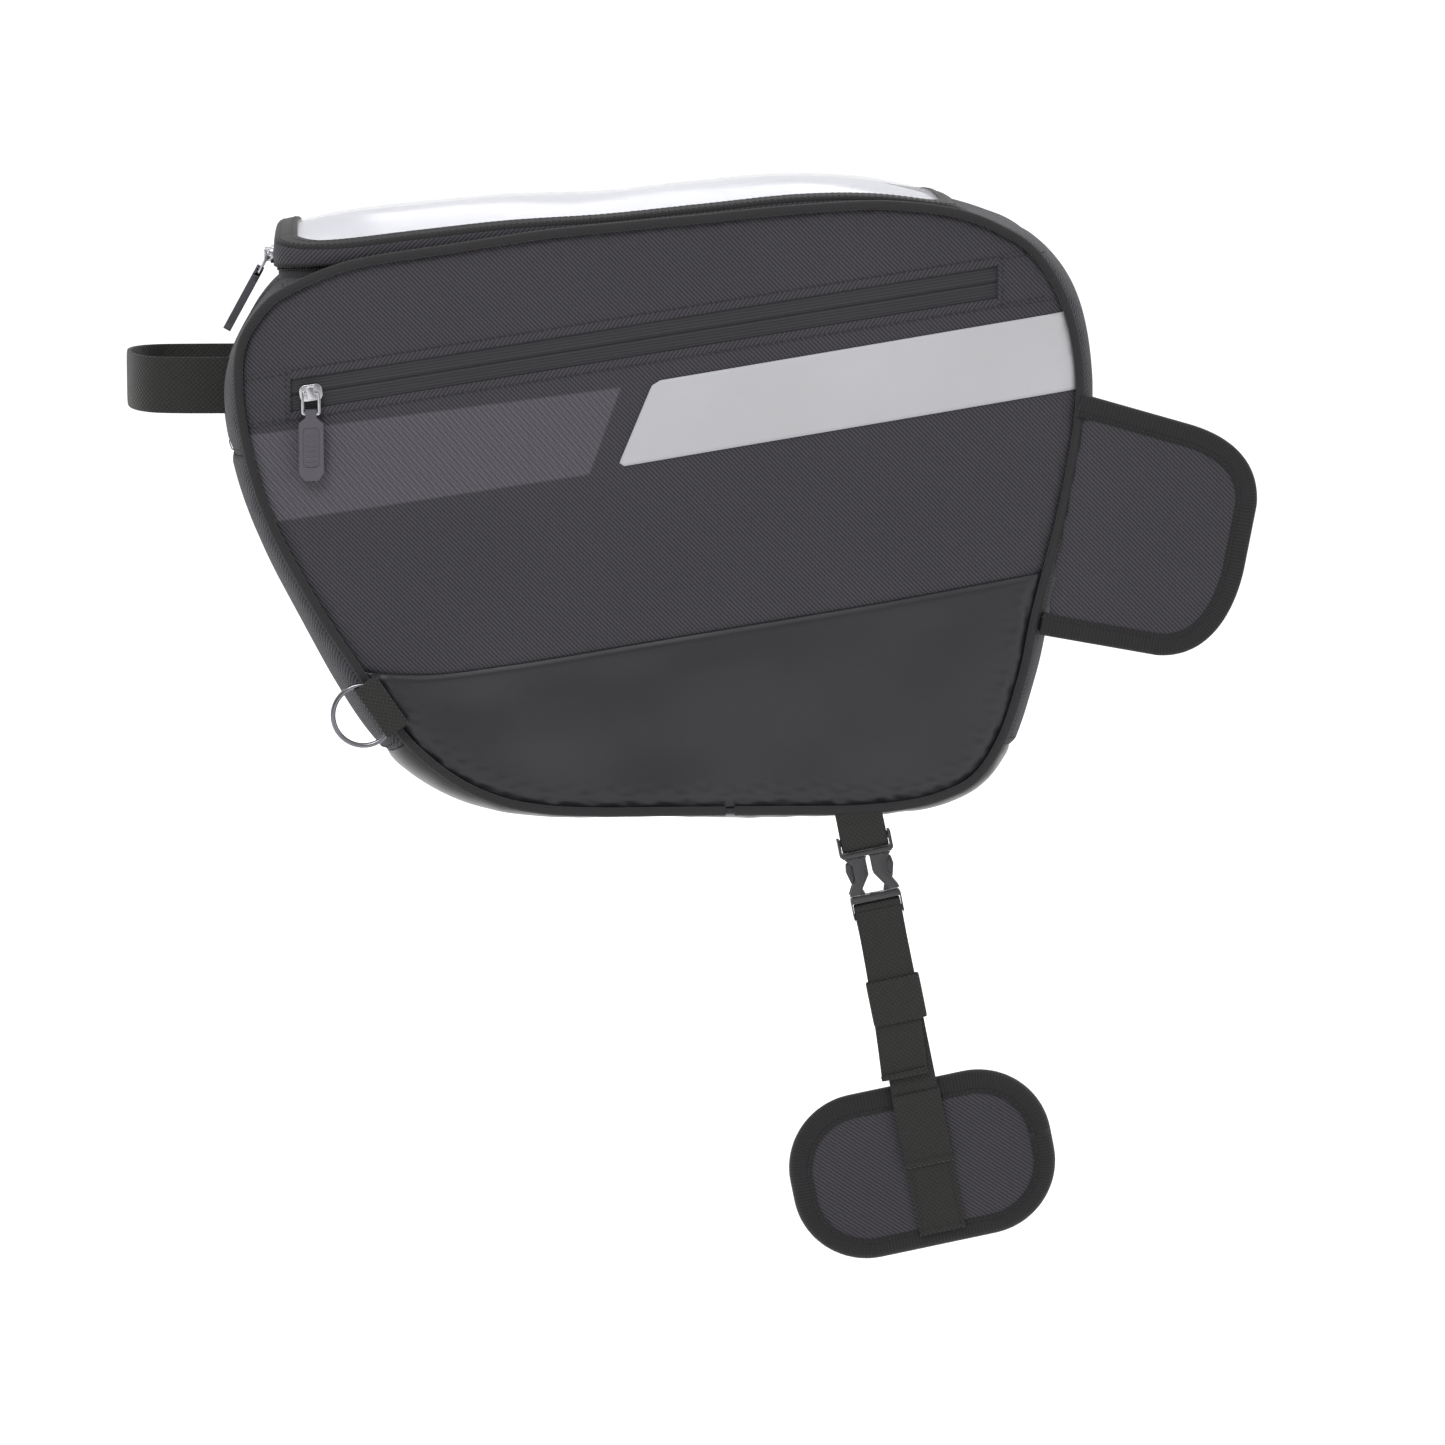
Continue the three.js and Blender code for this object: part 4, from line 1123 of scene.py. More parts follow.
# ------------------------------------------------------------------ shell
@dataclass
class Gusset:
    """The crowned strip round the bag, sewn from four pieces, with its lining and base board."""

    finishes: Finishes
    beads: BeadRun
    edge: float = 94.2 * MM
    thick: float = 3.0 * MM
    lining_depth: float = 7.4 * MM
    ledge_front: float = -217.6 * MM
    across: int = 56

    def surface(self, stations: np.ndarray, edge: float, under: float, ripple: float = 1.0) -> tuple:
        """Points of the gusset's face at a depth under its outer side.

        Args:
            stations: places along the outline.
            edge: how far the strip reaches from the middle plane.
            under: depth below the outer face.
            ripple: strength of the soft waves and puckers.

        Returns:
            A grid of points and their cloth coordinates.
        """
        where, normal, bulge = OUTLINE.at(stations)
        y = edge * np.sin(np.linspace(-math.pi / 2, math.pi / 2, self.across + 1))
        along = np.concatenate([[0], np.cumsum(np.linalg.norm(np.diff(where, axis=0), axis=1))])
        arch = np.sqrt(np.maximum(0, 1 - np.abs(y / OUTLINE.half_width) ** 4))
        a, b = np.meshgrid(along, y, indexing="ij")
        near_seam = 1 - smooth(OUTLINE.half_width - np.abs(b), 3 * MM, 26 * MM)
        waves = 0.9 * MM * soft_noise(a + where[0, 0], b, 95 * MM, 3) * arch[None, :]
        pucker = 0.35 * MM * near_seam * soft_noise(a, b * 0.15, 14 * MM, 5) * smooth(np.abs(arch), 0.1, 0.5)
        out = bulge[:, None] * arch[None, :] + ripple * (waves + pucker) - under
        points = np.empty(a.shape + (3,))
        points[..., 0] = where[:, :1] + normal[:, :1] * out
        points[..., 1] = b
        points[..., 2] = where[:, 1:] + normal[:, 1:] * out
        return points, np.stack([a, b], axis=-1)

    def piece(self, name: str, start: float, end: float, steps: int) -> bpy.types.Object:
        """One sewn length of the gusset, with a rolled edge at each cross seam.

        Args:
            name: the piece's name.
            start: where it starts along the outline.
            end: where it ends.
            steps: how many rows of points.

        Returns:
            The piece.
        """
        stations = np.linspace(start + 0.004, end - 0.004, steps)
        outer, weave = self.surface(stations, self.edge, 0)
        inner, _ = self.surface(stations, self.edge, self.thick)
        dip = np.linspace(0, 1, steps)
        along = weave[-1, 0, 0]
        fold = (1 - smooth(dip * along, 0, 4 * MM)) + (1 - smooth((1 - dip) * along, 0, 4 * MM))
        outer -= (outer - inner) * (fold * 0.45)[:, None, None]
        return shell(name, outer, inner, weave)

    def ledge(self) -> bpy.types.Object:
        """The narrow cloth ledge round the top, from the piping and the gusset's edge up to the main zip.

        Returns:
            The ledge.
        """
        path = LID.open_path(2.8 * MM, 2.5 * MM)
        stations = np.linspace(OUTLINE.top - 0.7, OUTLINE.rear + 0.4, 300)
        line, _, _ = OUTLINE.at(stations)
        start = np.empty((len(path), 3))
        start[:, 0] = np.maximum(path[:, 0], self.ledge_front)
        start[:, 1] = np.clip(path[:, 1] * 1.09, -self.edge, self.edge)
        front = smooth(-path[:, 0], 200 * MM, 218 * MM)
        start[:, 2] = np.interp(start[:, 0], line[:, 0], line[:, 1]) + (0.4 + 1.8 * front) * MM
        end = np.column_stack([path, LID.skirt(path[:, 0]) - 6.4 * MM])
        share = np.linspace(0, 1, 12)
        outer = start[:, None, :] * (1 - share)[None, :, None] + end[:, None, :] * share[None, :, None]
        outer[..., 2] -= 1.2 * MM * np.sin(math.pi * share) * (1 - front)[:, None]
        inner = outer + np.stack([front, 0 * front, -np.ones(len(path))], axis=1)[:, None, :] * 1.2 * MM
        along = np.concatenate([[0], np.cumsum(np.linalg.norm(np.diff(path, axis=0), axis=1))])
        weave = np.stack(np.broadcast_arrays(along[:, None], share * 9 * MM), axis=-1)
        return shell("zip_ledge_cloth", outer, inner, weave)

    def seam_lines(self, station: float, offsets: tuple[float, ...]) -> list[np.ndarray]:
        """Lines across the gusset, beside a cross seam.

        Args:
            station: where the seam is along the outline.
            offsets: distances from the seam.

        Returns:
            One line of points for each distance.
        """
        lines = []
        for offset in offsets:
            where, _, _ = OUTLINE.at(np.array([station, station + 0.01]))
            size = np.linalg.norm(where[1] - where[0]) / 0.01
            points, _ = self.surface(np.array([station + offset / size] * 2), self.edge * 0.97, -0.1 * MM)
            lines.append(points[0])
        return lines

    def build(self) -> None:
        """Build the four outer pieces, the seam stitches, the lining and the board."""
        pieces = [
            ("base_panel", 0, OUTLINE.front_lower, 130, self.finishes.coated, "coated_cloth"),
            ("front_gusset_lower", OUTLINE.front_lower, OUTLINE.front_upper, 70, self.finishes.woven, "woven_cloth"),
            ("front_gusset_upper", OUTLINE.front_upper, OUTLINE.top, 50, self.finishes.woven, "woven_cloth"),
            ("rear_gusset", OUTLINE.rear, OUTLINE.count, 110, self.finishes.woven, "woven_cloth"),
        ]
        for name, start, end, steps, material, slot in pieces:
            settle(dress(self.piece(name + "_cloth", start, end, steps), material), "bag", slot, name)
        settle(dress(self.ledge(), self.finishes.woven), "bag", "woven_cloth")
        runs = []
        for station, sign in ((OUTLINE.front_lower, 1), (OUTLINE.front_upper, 1), (OUTLINE.count, -1)):
            runs += self.seam_lines(station, (sign * 3.2 * MM,))
        stitches = self.beads.run("gusset_stitches", runs, (-1, 0, 0.1), self.finishes.thread)
        settle(stitches, "bag", "woven_cloth")
        stations = np.linspace(OUTLINE.rear - OUTLINE.count + 0.4, OUTLINE.top - 0.3, 200)
        outer, weave = self.surface(stations, 88 * MM, self.lining_depth, 0.4)
        inner, _ = self.surface(stations, 88 * MM, self.lining_depth + 1 * MM, 0.4)
        lining = dress(shell("gusset_lining_cloth", outer, inner, weave), self.finishes.lining)
        settle(lining, "bag", "lining", "gusset_lining")
        board = dress(refined("base_board", "base_stiffener", 0.8), self.finishes.board)
        settle(board, "bag", "board", "base_board")


# ------------------------------------------------------------------ side walls
@dataclass
class SideWall:
    """One padded side wall with its pocket zip, reflective strip, piping and lining.

    Attributes:
        side: -1 for the near wall, 1 for the far one.
    """

    finishes: Finishes
    beads: BeadRun
    side: int
    face: float = 96 * MM
    piping_radius: float = 2.5 * MM
    zip_half: float = 10.3 * MM
    zip_slope: float = 0.157
    zip_point: tuple[float, float] = (-22 * MM, 260.4 * MM)
    seam_mm: tuple = ((-190, 84), (-143, 82.3), (-105, 86.6), (0, 103.5), (101, 120), (200, 138))

    @property
    def word(self) -> str:
        """The CAD's word for this side."""
        return "left" if self.side < 0 else "right"

    def zip_z(self, x: np.ndarray, offset: float = 0.0) -> np.ndarray:
        """Height of a line parallel to the pocket zip, at a distance above it."""
        lift = offset * math.hypot(1, self.zip_slope)
        return self.zip_point[1] + (x - self.zip_point[0]) * self.zip_slope + lift

    def seam_z(self, x: np.ndarray) -> np.ndarray:
        """Height of the seam between the woven and the coated cloth.

        Args:
            x: places along the bag.

        Returns:
            The seam's height there.
        """
        control = np.array(self.seam_mm, float) * MM
        dense = catmull(control, np.linspace(0, len(control) - 1.001, 300), False)
        return np.interp(x, dense[:, 0], dense[:, 1])

    def relief(self, x: np.ndarray, z: np.ndarray) -> np.ndarray:
        """How far the wall's outer face stands from the middle plane.

        Args:
            x: places along the bag.
            z: heights.

        Returns:
            Distance from the middle plane.
        """
        gap = OUTLINE.distance(np.stack([x, z], axis=1))
        roll = (1 - smooth(gap, 0, 9 * MM)) * 2.2 * MM
        crown = smooth(gap, 6 * MM, 90 * MM) * 1.3 * MM
        seed = 11 if self.side < 0 else 23
        below = smooth(self.seam_z(x) - z, 2 * MM, 22 * MM)
        dents = soft_noise(x, z * 1.5, 110 * MM, seed) * (0.45 + 0.9 * below) * MM * smooth(gap, 8 * MM, 40 * MM)
        seam = np.exp(-(((z - self.seam_z(x)) / (2.2 * MM)) ** 2)) * 1.1 * MM
        pucker = 0.3 * MM * (1 - smooth(gap, 4 * MM, 20 * MM)) * soft_noise(x + z, x - z, 13 * MM, seed + 1)
        return self.face - 0.9 * MM - roll + crown + dents - seam + pucker

    def place(self, points: np.ndarray, lift: float) -> np.ndarray:
        """Put x, z points on the wall, a distance above its face."""
        y = self.relief(points[:, 0], points[:, 1]) + lift
        return np.stack([points[:, 0], self.side * y, points[:, 1]], axis=1)

    def region(self, low: object, high: object, inset: float) -> np.ndarray:
        """The part of the side's outline between two lines.

        Args:
            low: function of x for the lower line, or None.
            high: function of x for the upper line, or None.
            inset: distance inside the piping line.

        Returns:
            The region's boundary in x and z.
        """
        loop = OUTLINE.loop(inset, 1.5 * MM)
        x, z = loop.T
        keep = np.ones(len(loop), bool)
        if low is not None:
            keep &= z >= low(x)
        if high is not None:
            keep &= z <= high(x)
        start = int(np.argmax(keep & ~np.roll(keep, 1)))
        loop, keep = np.roll(loop, -start, axis=0), np.roll(keep, -start)
        parts, run = [], []
        for point, inside in zip(loop, keep):
            if inside:
                run.append(point)
            elif run:
                parts.append(np.array(run))
                run = []
        if run:
            parts.append(np.array(run))
        boundary = []
        for part, following in zip(parts, parts[1:] + parts[:1]):
            boundary.append(part)
            a, b = part[-1], following[0]
            steps = max(3, int(abs(b[0] - a[0]) / (1.5 * MM)))
            across = np.linspace(a[0], b[0], steps)[1:-1]
            line = low if (low is not None and abs(a[1] - low(a[0])) < 4 * MM) else high
            boundary.append(np.stack([across, line(across)], axis=1))
        return np.vstack(boundary)

    def panel(
        self, name: str, boundary: np.ndarray, centre: tuple[float, float], thick: float = 3 * MM
    ) -> bpy.types.Object:
        """A padded panel over a region, closed at the back.

        Args:
            name: the piece's name.
            boundary: the region's outline in x and z.
            centre: a point that sees all of it.
            thick: the panel's thickness.

        Returns:
            The panel's object.
        """
        points, faces, share = fan(boundary, np.array(centre), 46)
        front = self.place(points, 0.0)
        edge = smooth(share, 0.985, 1.0)[:, None] * np.array([[0, -self.side * 0.8 * MM, 0]])
        front = front + edge
        back = front - np.array([0, self.side * thick, 0])
        return closed_fan(name, front, back, faces, len(boundary), points)

    def build_panels(self) -> None:
        """Upper, middle and lower panels."""
        word = self.word
        zip_low = lambda x: self.zip_z(x, -self.zip_half)
        zip_high = lambda x: self.zip_z(x, self.zip_half)
        under = 1.2 * MM
        top = self.panel(f"side_top_cloth_{word}", self.region(zip_high, None, under), (-0.01, 0.300))
        middle = self.panel(f"side_middle_cloth_{word}", self.region(self.seam_z, zip_low, under), (-0.02, 0.175))
        lower = self.panel(f"side_lower_cloth_{word}", self.region(None, self.seam_z, under), (0.01, 0.055))
        settle(dress(top, self.finishes.woven), "bag", "woven_cloth", f"side_top_{word}")
        settle(dress(middle, self.finishes.printed), "bag", "woven_cloth", f"side_middle_{word}")
        settle(dress(lower, self.finishes.coated), "bag", "coated_cloth", f"side_lower_{word}")

    def build_piping(self) -> None:
        """A cloth-covered cord round the wall, open at its joint under the bag."""
        loop = OUTLINE.loop(0.0, 1.6 * MM)
        start = int(np.argmin(np.abs(loop[:, 0] - 15 * MM) + (loop[:, 1] > 20 * MM)))
        loop = np.roll(loop, -start, axis=0)[1:-1]
        path = np.stack([loop[:, 0], np.full(len(loop), self.side * OUTLINE.half_width), loop[:, 1]], axis=1)
        tangent = unit(np.gradient(path, axis=0))
        out = np.cross(tangent, [0, 1, 0])
        section = round_profile(self.piping_radius, 14)
        cord = sweep(f"piping_cord_{self.word}", path, out, np.array([0, 1.0, 0]), section)
        settle(dress(cord, self.finishes.piping), "bag", "piping_cloth", f"piping_{self.word}")

    def ends_of_row(self, height: object, inset: float = 1.2 * MM) -> tuple[float, float]:
        """Where a line across the wall meets the piping.

        Args:
            height: function of x that gives the line's height.
            inset: distance inside the piping line.

        Returns:
            The left and right x of the line's ends.
        """
        loop = OUTLINE.loop(inset, 1 * MM)
        gap = loop[:, 1] - height(loop[:, 0])
        other, far = np.roll(loop, -1, axis=0), np.roll(gap, -1)
        cross = gap * far <= 0
        share = gap[cross] / np.where(gap[cross] == far[cross], 1, gap[cross] - far[cross])
        x = loop[cross, 0] + (other[cross, 0] - loop[cross, 0]) * share
        return float(x.min()), float(x.max())

    def rows_between(self, heights: list, left: float | None, right: float | None, steps: int) -> np.ndarray:
        """A grid of x, z points on lines across the wall, ended by the piping or at a given x.

        Args:
            heights: functions of x, one for each row.
            left: where the rows start, or None for the piping.
            right: where they end, or None for the piping.
            steps: points in a row.

        Returns:
            The grid of points.
        """
        rows = []
        for height in heights:
            start, end = self.ends_of_row(height)
            start = start if left is None else max(start, left)
            end = end if right is None else min(end, right)
            x = np.linspace(start, end, steps)
            rows.append(np.stack([x, height(x)], axis=1))
        return np.array(rows).transpose(1, 0, 2)

    def build_zip(self) -> None:
        """Zip tape with its closed seam, folded cloth lips, stitches and end patches."""
        word = self.word
        left, right = self.ends_of_row(self.zip_z, 3 * MM)
        v = np.linspace(-1, 1, 41)
        heights = [lambda x, t=t: self.zip_z(x, t * self.zip_half) for t in v]
        grid = self.rows_between(heights, None, None, 200)
        a, z = grid[..., 0], grid[..., 1]
        b = np.broadcast_to(v, a.shape)
        wall = self.relief(a.ravel(), z.ravel()).reshape(a.shape)
        seam = np.exp(-((b / 0.035) ** 2)) * 0.9 * MM
        swell = np.exp(-(((np.abs(b) - 0.16) / 0.12) ** 2)) * 0.55 * MM
        y = wall - 1.0 * MM - seam + swell + 0.15 * MM * soft_noise(a, b * 0.01, 60 * MM, 9)
        outer = np.stack([a, self.side * y, z], axis=-1)
        inner = outer - np.array([0, self.side * 1.4 * MM, 0])
        weave = np.stack([b * self.zip_half * 1.0, a * 0.3], axis=-1)
        tape = dress(shell(f"pocket_tape_{word}", outer, inner, weave), self.finishes.tape)
        settle(tape, "bag", "zip_tape", f"pocket_zip_tape_{word}")
        for sign in (-1, 1):
            along = np.arange(left + 2 * MM, right - 2 * MM, 2 * MM)
            line = np.stack([along, self.zip_z(along, sign * (self.zip_half + 0.2 * MM))], axis=1)
            path = self.place(line, -0.2 * MM)
            lip = sweep(
                f"pocket_lip_{'lower' if sign < 0 else 'upper'}_{word}",
                path,
                np.array([-self.zip_slope, 0, 1.0]) / math.hypot(1, self.zip_slope),
                np.array([0, self.side, 0.0]),
                flat_profile(4.2 * MM, 1.2 * MM, 16, 0.7),
            )
            settle(dress(lip, self.finishes.woven), "bag", "woven_cloth")
        lines = []
        for offset in (-self.zip_half - 2.8 * MM, self.zip_half + 2.8 * MM):
            along = np.arange(left + 3 * MM, right - 3 * MM, 4 * MM)
            lines.append(self.place(np.stack([along, self.zip_z(along, offset)], axis=1), 0.15 * MM))
        stitches = self.beads.run(f"pocket_stitches_{word}", lines, (0, self.side, 0), self.finishes.thread)
        settle(stitches, "bag", "woven_cloth")
        self.build_patch("front", None, -214.6 * MM)
        self.build_patch("rear", 156.9 * MM, None)

    def build_patch(self, end: str, left: float | None, right: float | None) -> None:
        """A folded cloth patch over one end of the zip, with its stitched edge.

        Args:
            end: the patch's word, front or rear.
            left: where it starts, or None for the piping.
            right: where it ends, or None for the piping.
        """
        word = self.word
        half = self.zip_half + 3.5 * MM
        v = np.linspace(-1, 1, 31)
        heights = [lambda x, t=t: self.zip_z(x, t * half) for t in v]
        grid = self.rows_between(heights, left, right, 24)
        a, z = grid[..., 0], grid[..., 1]
        b = np.broadcast_to(v, a.shape)
        left, right = (float(a[0].mean()), right) if end == "front" else (left, float(a[-1].mean()))
        limit = OUTLINE.distance(np.stack([a.ravel(), z.ravel()], axis=1)).reshape(a.shape)
        y = self.relief(a.ravel(), z.ravel()).reshape(a.shape) + 0.9 * MM
        y -= (1 - smooth(np.minimum(1 - np.abs(b), 0.2), 0, 0.12)) * 0.7 * MM
        y -= (1 - smooth(limit, 2 * MM, 5 * MM)) * 1.2 * MM
        inner_end = np.abs(a - (right if end == "front" else left))
        y -= (1 - smooth(inner_end, 0, 1.5 * MM)) * 0.6 * MM
        y += np.exp(-((b / 0.25) ** 2)) * 0.4 * MM
        outer = np.stack([a, self.side * y, z], axis=-1)
        inner = outer - np.array([0, self.side * 1.0 * MM, 0])
        patch = shell(f"zip_patch_{end}_cloth_{word}", outer, inner, np.stack([a, z], axis=-1))
        settle(dress(patch, self.finishes.woven), "bag", "woven_cloth", f"zip_patch_{end}_{word}")
        edge = (right - 2.5 * MM) if end == "front" else (left + 2.5 * MM)
        up = np.linspace(-0.9, 0.9, 12) * half
        across = np.stack([np.full(12, edge), self.zip_z(np.full(12, edge)) + up], axis=1)
        rows = [self.place(across, 1.1 * MM)]
        x = np.linspace(left + 2 * MM, right - 2 * MM, 10)
        for offset in (-half + 2.2 * MM, half - 2.2 * MM):
            rows.append(self.place(np.stack([x, self.zip_z(x, offset)], axis=1), 1.1 * MM))
        stitches = self.beads.run(f"zip_patch_{end}_stitches_{word}", rows, (0, self.side, 0), self.finishes.thread)
        settle(stitches, "bag", "woven_cloth")

    def build_strip(self) -> None:
        """The pale reflective strip, sewn on the middle panel."""
        left, rise, height = -43.5 * MM, 0.165, 42 * MM
        v = np.linspace(0, 1, 22)
        rows = []
        for t in v:
            start = left + t * 19 * MM
            corner = 3.5 * MM
            inset = corner * (1 - math.sqrt(max(0, 1 - max(0, abs(2 * t - 1) - 0.86) ** 2 / 0.0196)))
            line = lambda x, t=t: 191.8 * MM + (x - left) * rise + t * height
            along = np.linspace(start + inset, self.ends_of_row(line)[1], 120)
            rows.append(np.stack([along, line(along)], axis=1))
        grid = np.array(rows)
        flat = grid.reshape(-1, 2)
        gap = OUTLINE.distance(flat)
        y = self.relief(flat[:, 0], flat[:, 1]) + 0.55 * MM - (1 - smooth(gap, 1 * MM, 3.5 * MM)) * 1.5 * MM
        outer = np.stack([flat[:, 0], self.side * y, flat[:, 1]], axis=1).reshape(*grid.shape[:2], 3)
        inner = outer - np.array([0, self.side * 0.5 * MM, 0])
        strip = dress(shell(f"reflective_band_{self.word}", outer, inner, grid), self.finishes.reflective)
        settle(strip, "bag", "reflective_film", f"reflective_strip_{self.word}")

    def build_lining(self) -> None:
        """The inner face of the wall."""
        loop = OUTLINE.loop(9.4 * MM, 3 * MM)
        points, faces, _ = fan(loop, np.array([-0.01, 0.17]), 20)
        y = self.face - 3.8 * MM + 0.3 * MM * soft_noise(points[:, 0], points[:, 1], 80 * MM, 31)
        front = np.stack([points[:, 0], self.side * y, points[:, 1]], axis=1)
        back = front - np.array([0, self.side * 1.0 * MM, 0])
        lining = closed_fan(f"side_lining_cloth_{self.word}", front, back, faces, len(loop), points)
        settle(dress(lining, self.finishes.lining), "bag", "lining", f"side_lining_{self.word}")

    def build(self) -> None:
        """Build the whole wall."""
        self.build_panels()
        self.build_piping()
        self.build_zip()
        self.build_strip()
        self.build_lining()


# ------------------------------------------------------------------ lid and main zip
@dataclass
class Lid:
    """The zipped lid: bound frame, clear map window, backing, skirt and both halves of the main zip."""

    finishes: Finishes
    beads: BeadRun
    frame_inset: tuple[float, float, float] = (12 * MM, 9 * MM, 11 * MM)

    def sheet(
        self, name: str, inset: tuple[float, float, float], corner: float, top: float, thick: float, wave: float
    ) -> bpy.types.Object:
        """A closed sheet that follows the lid's dome inside a rounded plan.

        Args:
            name: the piece's name.
            inset: distances inside the front, sides and rear.
            corner: radius of the corners.
            top: depth below the dome.
            thick: its thickness.
            wave: height of its soft waves.

        Returns:
            The sheet.
        """
        loop = LID.plan(inset, corner)
        points, faces, _ = fan(loop, np.array([(LID.front + LID.rear) / 2, 0.0]), 44)
        z = LID.top(points[:, 0], points[:, 1]) - top + wave * soft_noise(points[:, 0], points[:, 1], 90 * MM, 41)
        upper = np.column_stack([points, z])
        lower = upper - np.array([0, 0, thick])
        return closed_fan(name, upper, lower, faces, len(loop), points)

    def border(self) -> bpy.types.Object:
        """The bound frame round the window: a soft flat roll of binding.

        Returns:
            The frame.
        """
        outer = LID.plan((0, 0, 0), LID.corner, 2.5 * MM)
        inner_shift = []
        columns = 13
        share = np.linspace(0, 1, columns)
        front, side, rear = self.frame_inset
        middle = np.array([(LID.front + LID.rear) / 2, 0.0])
        half = np.array([(LID.rear - LID.front) / 2, LID.half])
        inner_half = np.array([half[0] - (front + rear) / 2, half[1] - side])
        inner_middle = middle + np.array([(front - rear) / 2, 0])
        for s in share:
            size = half + (inner_half - half) * s
            centre = middle + (inner_middle - middle) * s
            inner_shift.append(centre + (outer - middle) * (size / half))
        grid = np.array(inner_shift).transpose(1, 0, 2)
        crown = np.sqrt(np.maximum(0, 1 - (2 * share - 1) ** 4)) * 1.3 * MM
        z = LID.top(grid[..., 0], grid[..., 1])
        upper = np.dstack([grid, z - 1.0 * MM + crown[None, :]])
        lower = np.dstack([grid, z - 2.4 * MM + 0 * crown[None, :]])[:, ::-1]
        ring = np.concatenate([upper, lower], axis=1)
        count, sides = ring.shape[:2]
        along = np.concatenate([[0], np.cumsum(np.linalg.norm(np.diff(outer, axis=0), axis=1))])
        weave = np.stack(np.meshgrid(along, np.arange(sides) * 1.0 * MM, indexing="ij"), axis=-1)
        faces = grid_faces(count, sides, close_rows=True, close_columns=True)
        return make_mesh("lid_frame_binding", ring.reshape(-1, 3), faces, weave.reshape(-1, 2))

    def wall(
        self, name: str, inset: float, thick: float, low: object, high: object, bow: float, rows: int = 9
    ) -> bpy.types.Object:
        """A band that follows the lid's edge between two heights.

        Args:
            name: the piece's name.
            inset: distance inside the lid's edge.
            thick: its thickness.
            low: function of x and y for the lower edge.
            high: function of x and y for the upper edge.
            bow: how far it bulges.
            rows: rows of points.

        Returns:
            The band.
        """
        path = LID.open_path(inset)
        tangent = unit(np.gradient(path, axis=0))
        out = np.stack([-tangent[:, 1], tangent[:, 0]], axis=1)
        if out[len(out) // 2, 0] > 0:
            out = -out
        bottom, top = low(path[:, 0], path[:, 1]), high(path[:, 0], path[:, 1])
        t = np.linspace(0, 1, rows)
        z = bottom[:, None] + (top - bottom)[:, None] * t
        push = bow * np.sin(math.pi * t)
        outer = np.empty(z.shape + (3,))
        outer[..., 0] = path[:, :1] + out[:, :1] * push
        outer[..., 1] = path[:, 1:] + out[:, 1:] * push
        outer[..., 2] = z
        inner = outer.copy()
        inner[..., 0] -= out[:, :1] * thick
        inner[..., 1] -= out[:, 1:] * thick
        along = np.concatenate([[0], np.cumsum(np.linalg.norm(np.diff(path, axis=0), axis=1))])
        weave = np.stack(np.broadcast_arrays(along[:, None], z), axis=-1)
        return shell(name, outer, inner, weave)

    def build(self) -> None:
        """Build the lid and the zip round it."""
        look = self.finishes
        settle(dress(self.border(), look.binding), "lid", "binding_tape", "lid_frame")
        pane = tuple(i - 1.5 * MM for i in self.frame_inset)
        window = self.sheet("map_window_film", pane, 10 * MM, 0.9 * MM, 0.8 * MM, 0.5 * MM)
        settle(dress(window, look.film), "lid", "clear_film", "map_window")
        backing = self.sheet("map_backing_cloth", (8 * MM, 6 * MM, 7 * MM), 12 * MM, 3.2 * MM, 1.0 * MM, 0.2 * MM)
        settle(dress(backing, look.backing), "lid", "map_backing", "map_backing")
        panel = self.sheet("lid_panel_cloth", (4.5 * MM, 4.5 * MM, 3 * MM), 13 * MM, 5.0 * MM, 2.6 * MM, 0.2 * MM)
        settle(dress(panel, look.lining), "lid", "lining", "lid_panel")
        low = lambda x, y: LID.skirt(x)
        skirt = self.wall("lid_skirt_cloth", 0, 1.6 * MM, low, lambda x, y: LID.top(x, y) - 1.6 * MM, 0.5 * MM)
        settle(dress(skirt, look.woven), "lid", "woven_cloth", "lid_skirt")
        path = LID.open_path(0.8 * MM, 2 * MM)
        hem = np.column_stack([path, LID.skirt(path[:, 0])])
        tangent = unit(np.gradient(hem, axis=0))
        sideways, section = np.cross(tangent, [0, 0, 1.0]), round_profile(1.3 * MM, 10)
        roll = sweep("lid_skirt_hem", hem, sideways, np.array([0, 0, 1.0]), section)
        settle(dress(roll, look.binding), "lid", "binding_tape")
        upper = self.wall(
            "lid_zip_half",
            2.2 * MM,
            1.1 * MM,
            lambda x, y: LID.skirt(x) - 1.5 * MM,
            lambda x, y: LID.top(x, y) - 3.4 * MM,
            0,
        )
        settle(dress(upper, look.tape), "lid", "zip_tape", "lid_zip_tape")
        lower = self.wall(
            "main_zip_half",
            2.2 * MM,
            1.1 * MM,
            lambda x, y: LID.skirt(x) - 7.6 * MM,
            lambda x, y: LID.skirt(x) - 2 * MM,
            0,
        )
        settle(dress(lower, look.tape), "bag", "zip_tape", "main_zip_tape")
        for name, body, drop in (("lid_zip_coil", "lid", 1.1 * MM), ("main_zip_coil", "bag", 2.4 * MM)):
            path = LID.open_path(1.9 * MM, 4 * MM)
            line = np.column_stack([path, LID.skirt(path[:, 0]) - drop])
            coil = self.beads.run(name, [line], (0, 0, 1), look.coil, 1.5, (0.9, 1.6, 1.7))
            settle(coil, body, "zip_tape")
        rows = []
        for inset in (2.2 * MM, 7.0 * MM):
            plan = LID.plan((inset * 1.3, inset, inset), LID.corner - inset, 3 * MM)
            line = np.column_stack([plan, LID.top(plan[:, 0], plan[:, 1]) + 0.25 * MM])
            rows.append(np.vstack([line, line[:1]]))
        stitches = self.beads.run("lid_frame_stitches", rows, (0, 0, 1), look.thread)
        settle(stitches, "lid", "binding_tape")


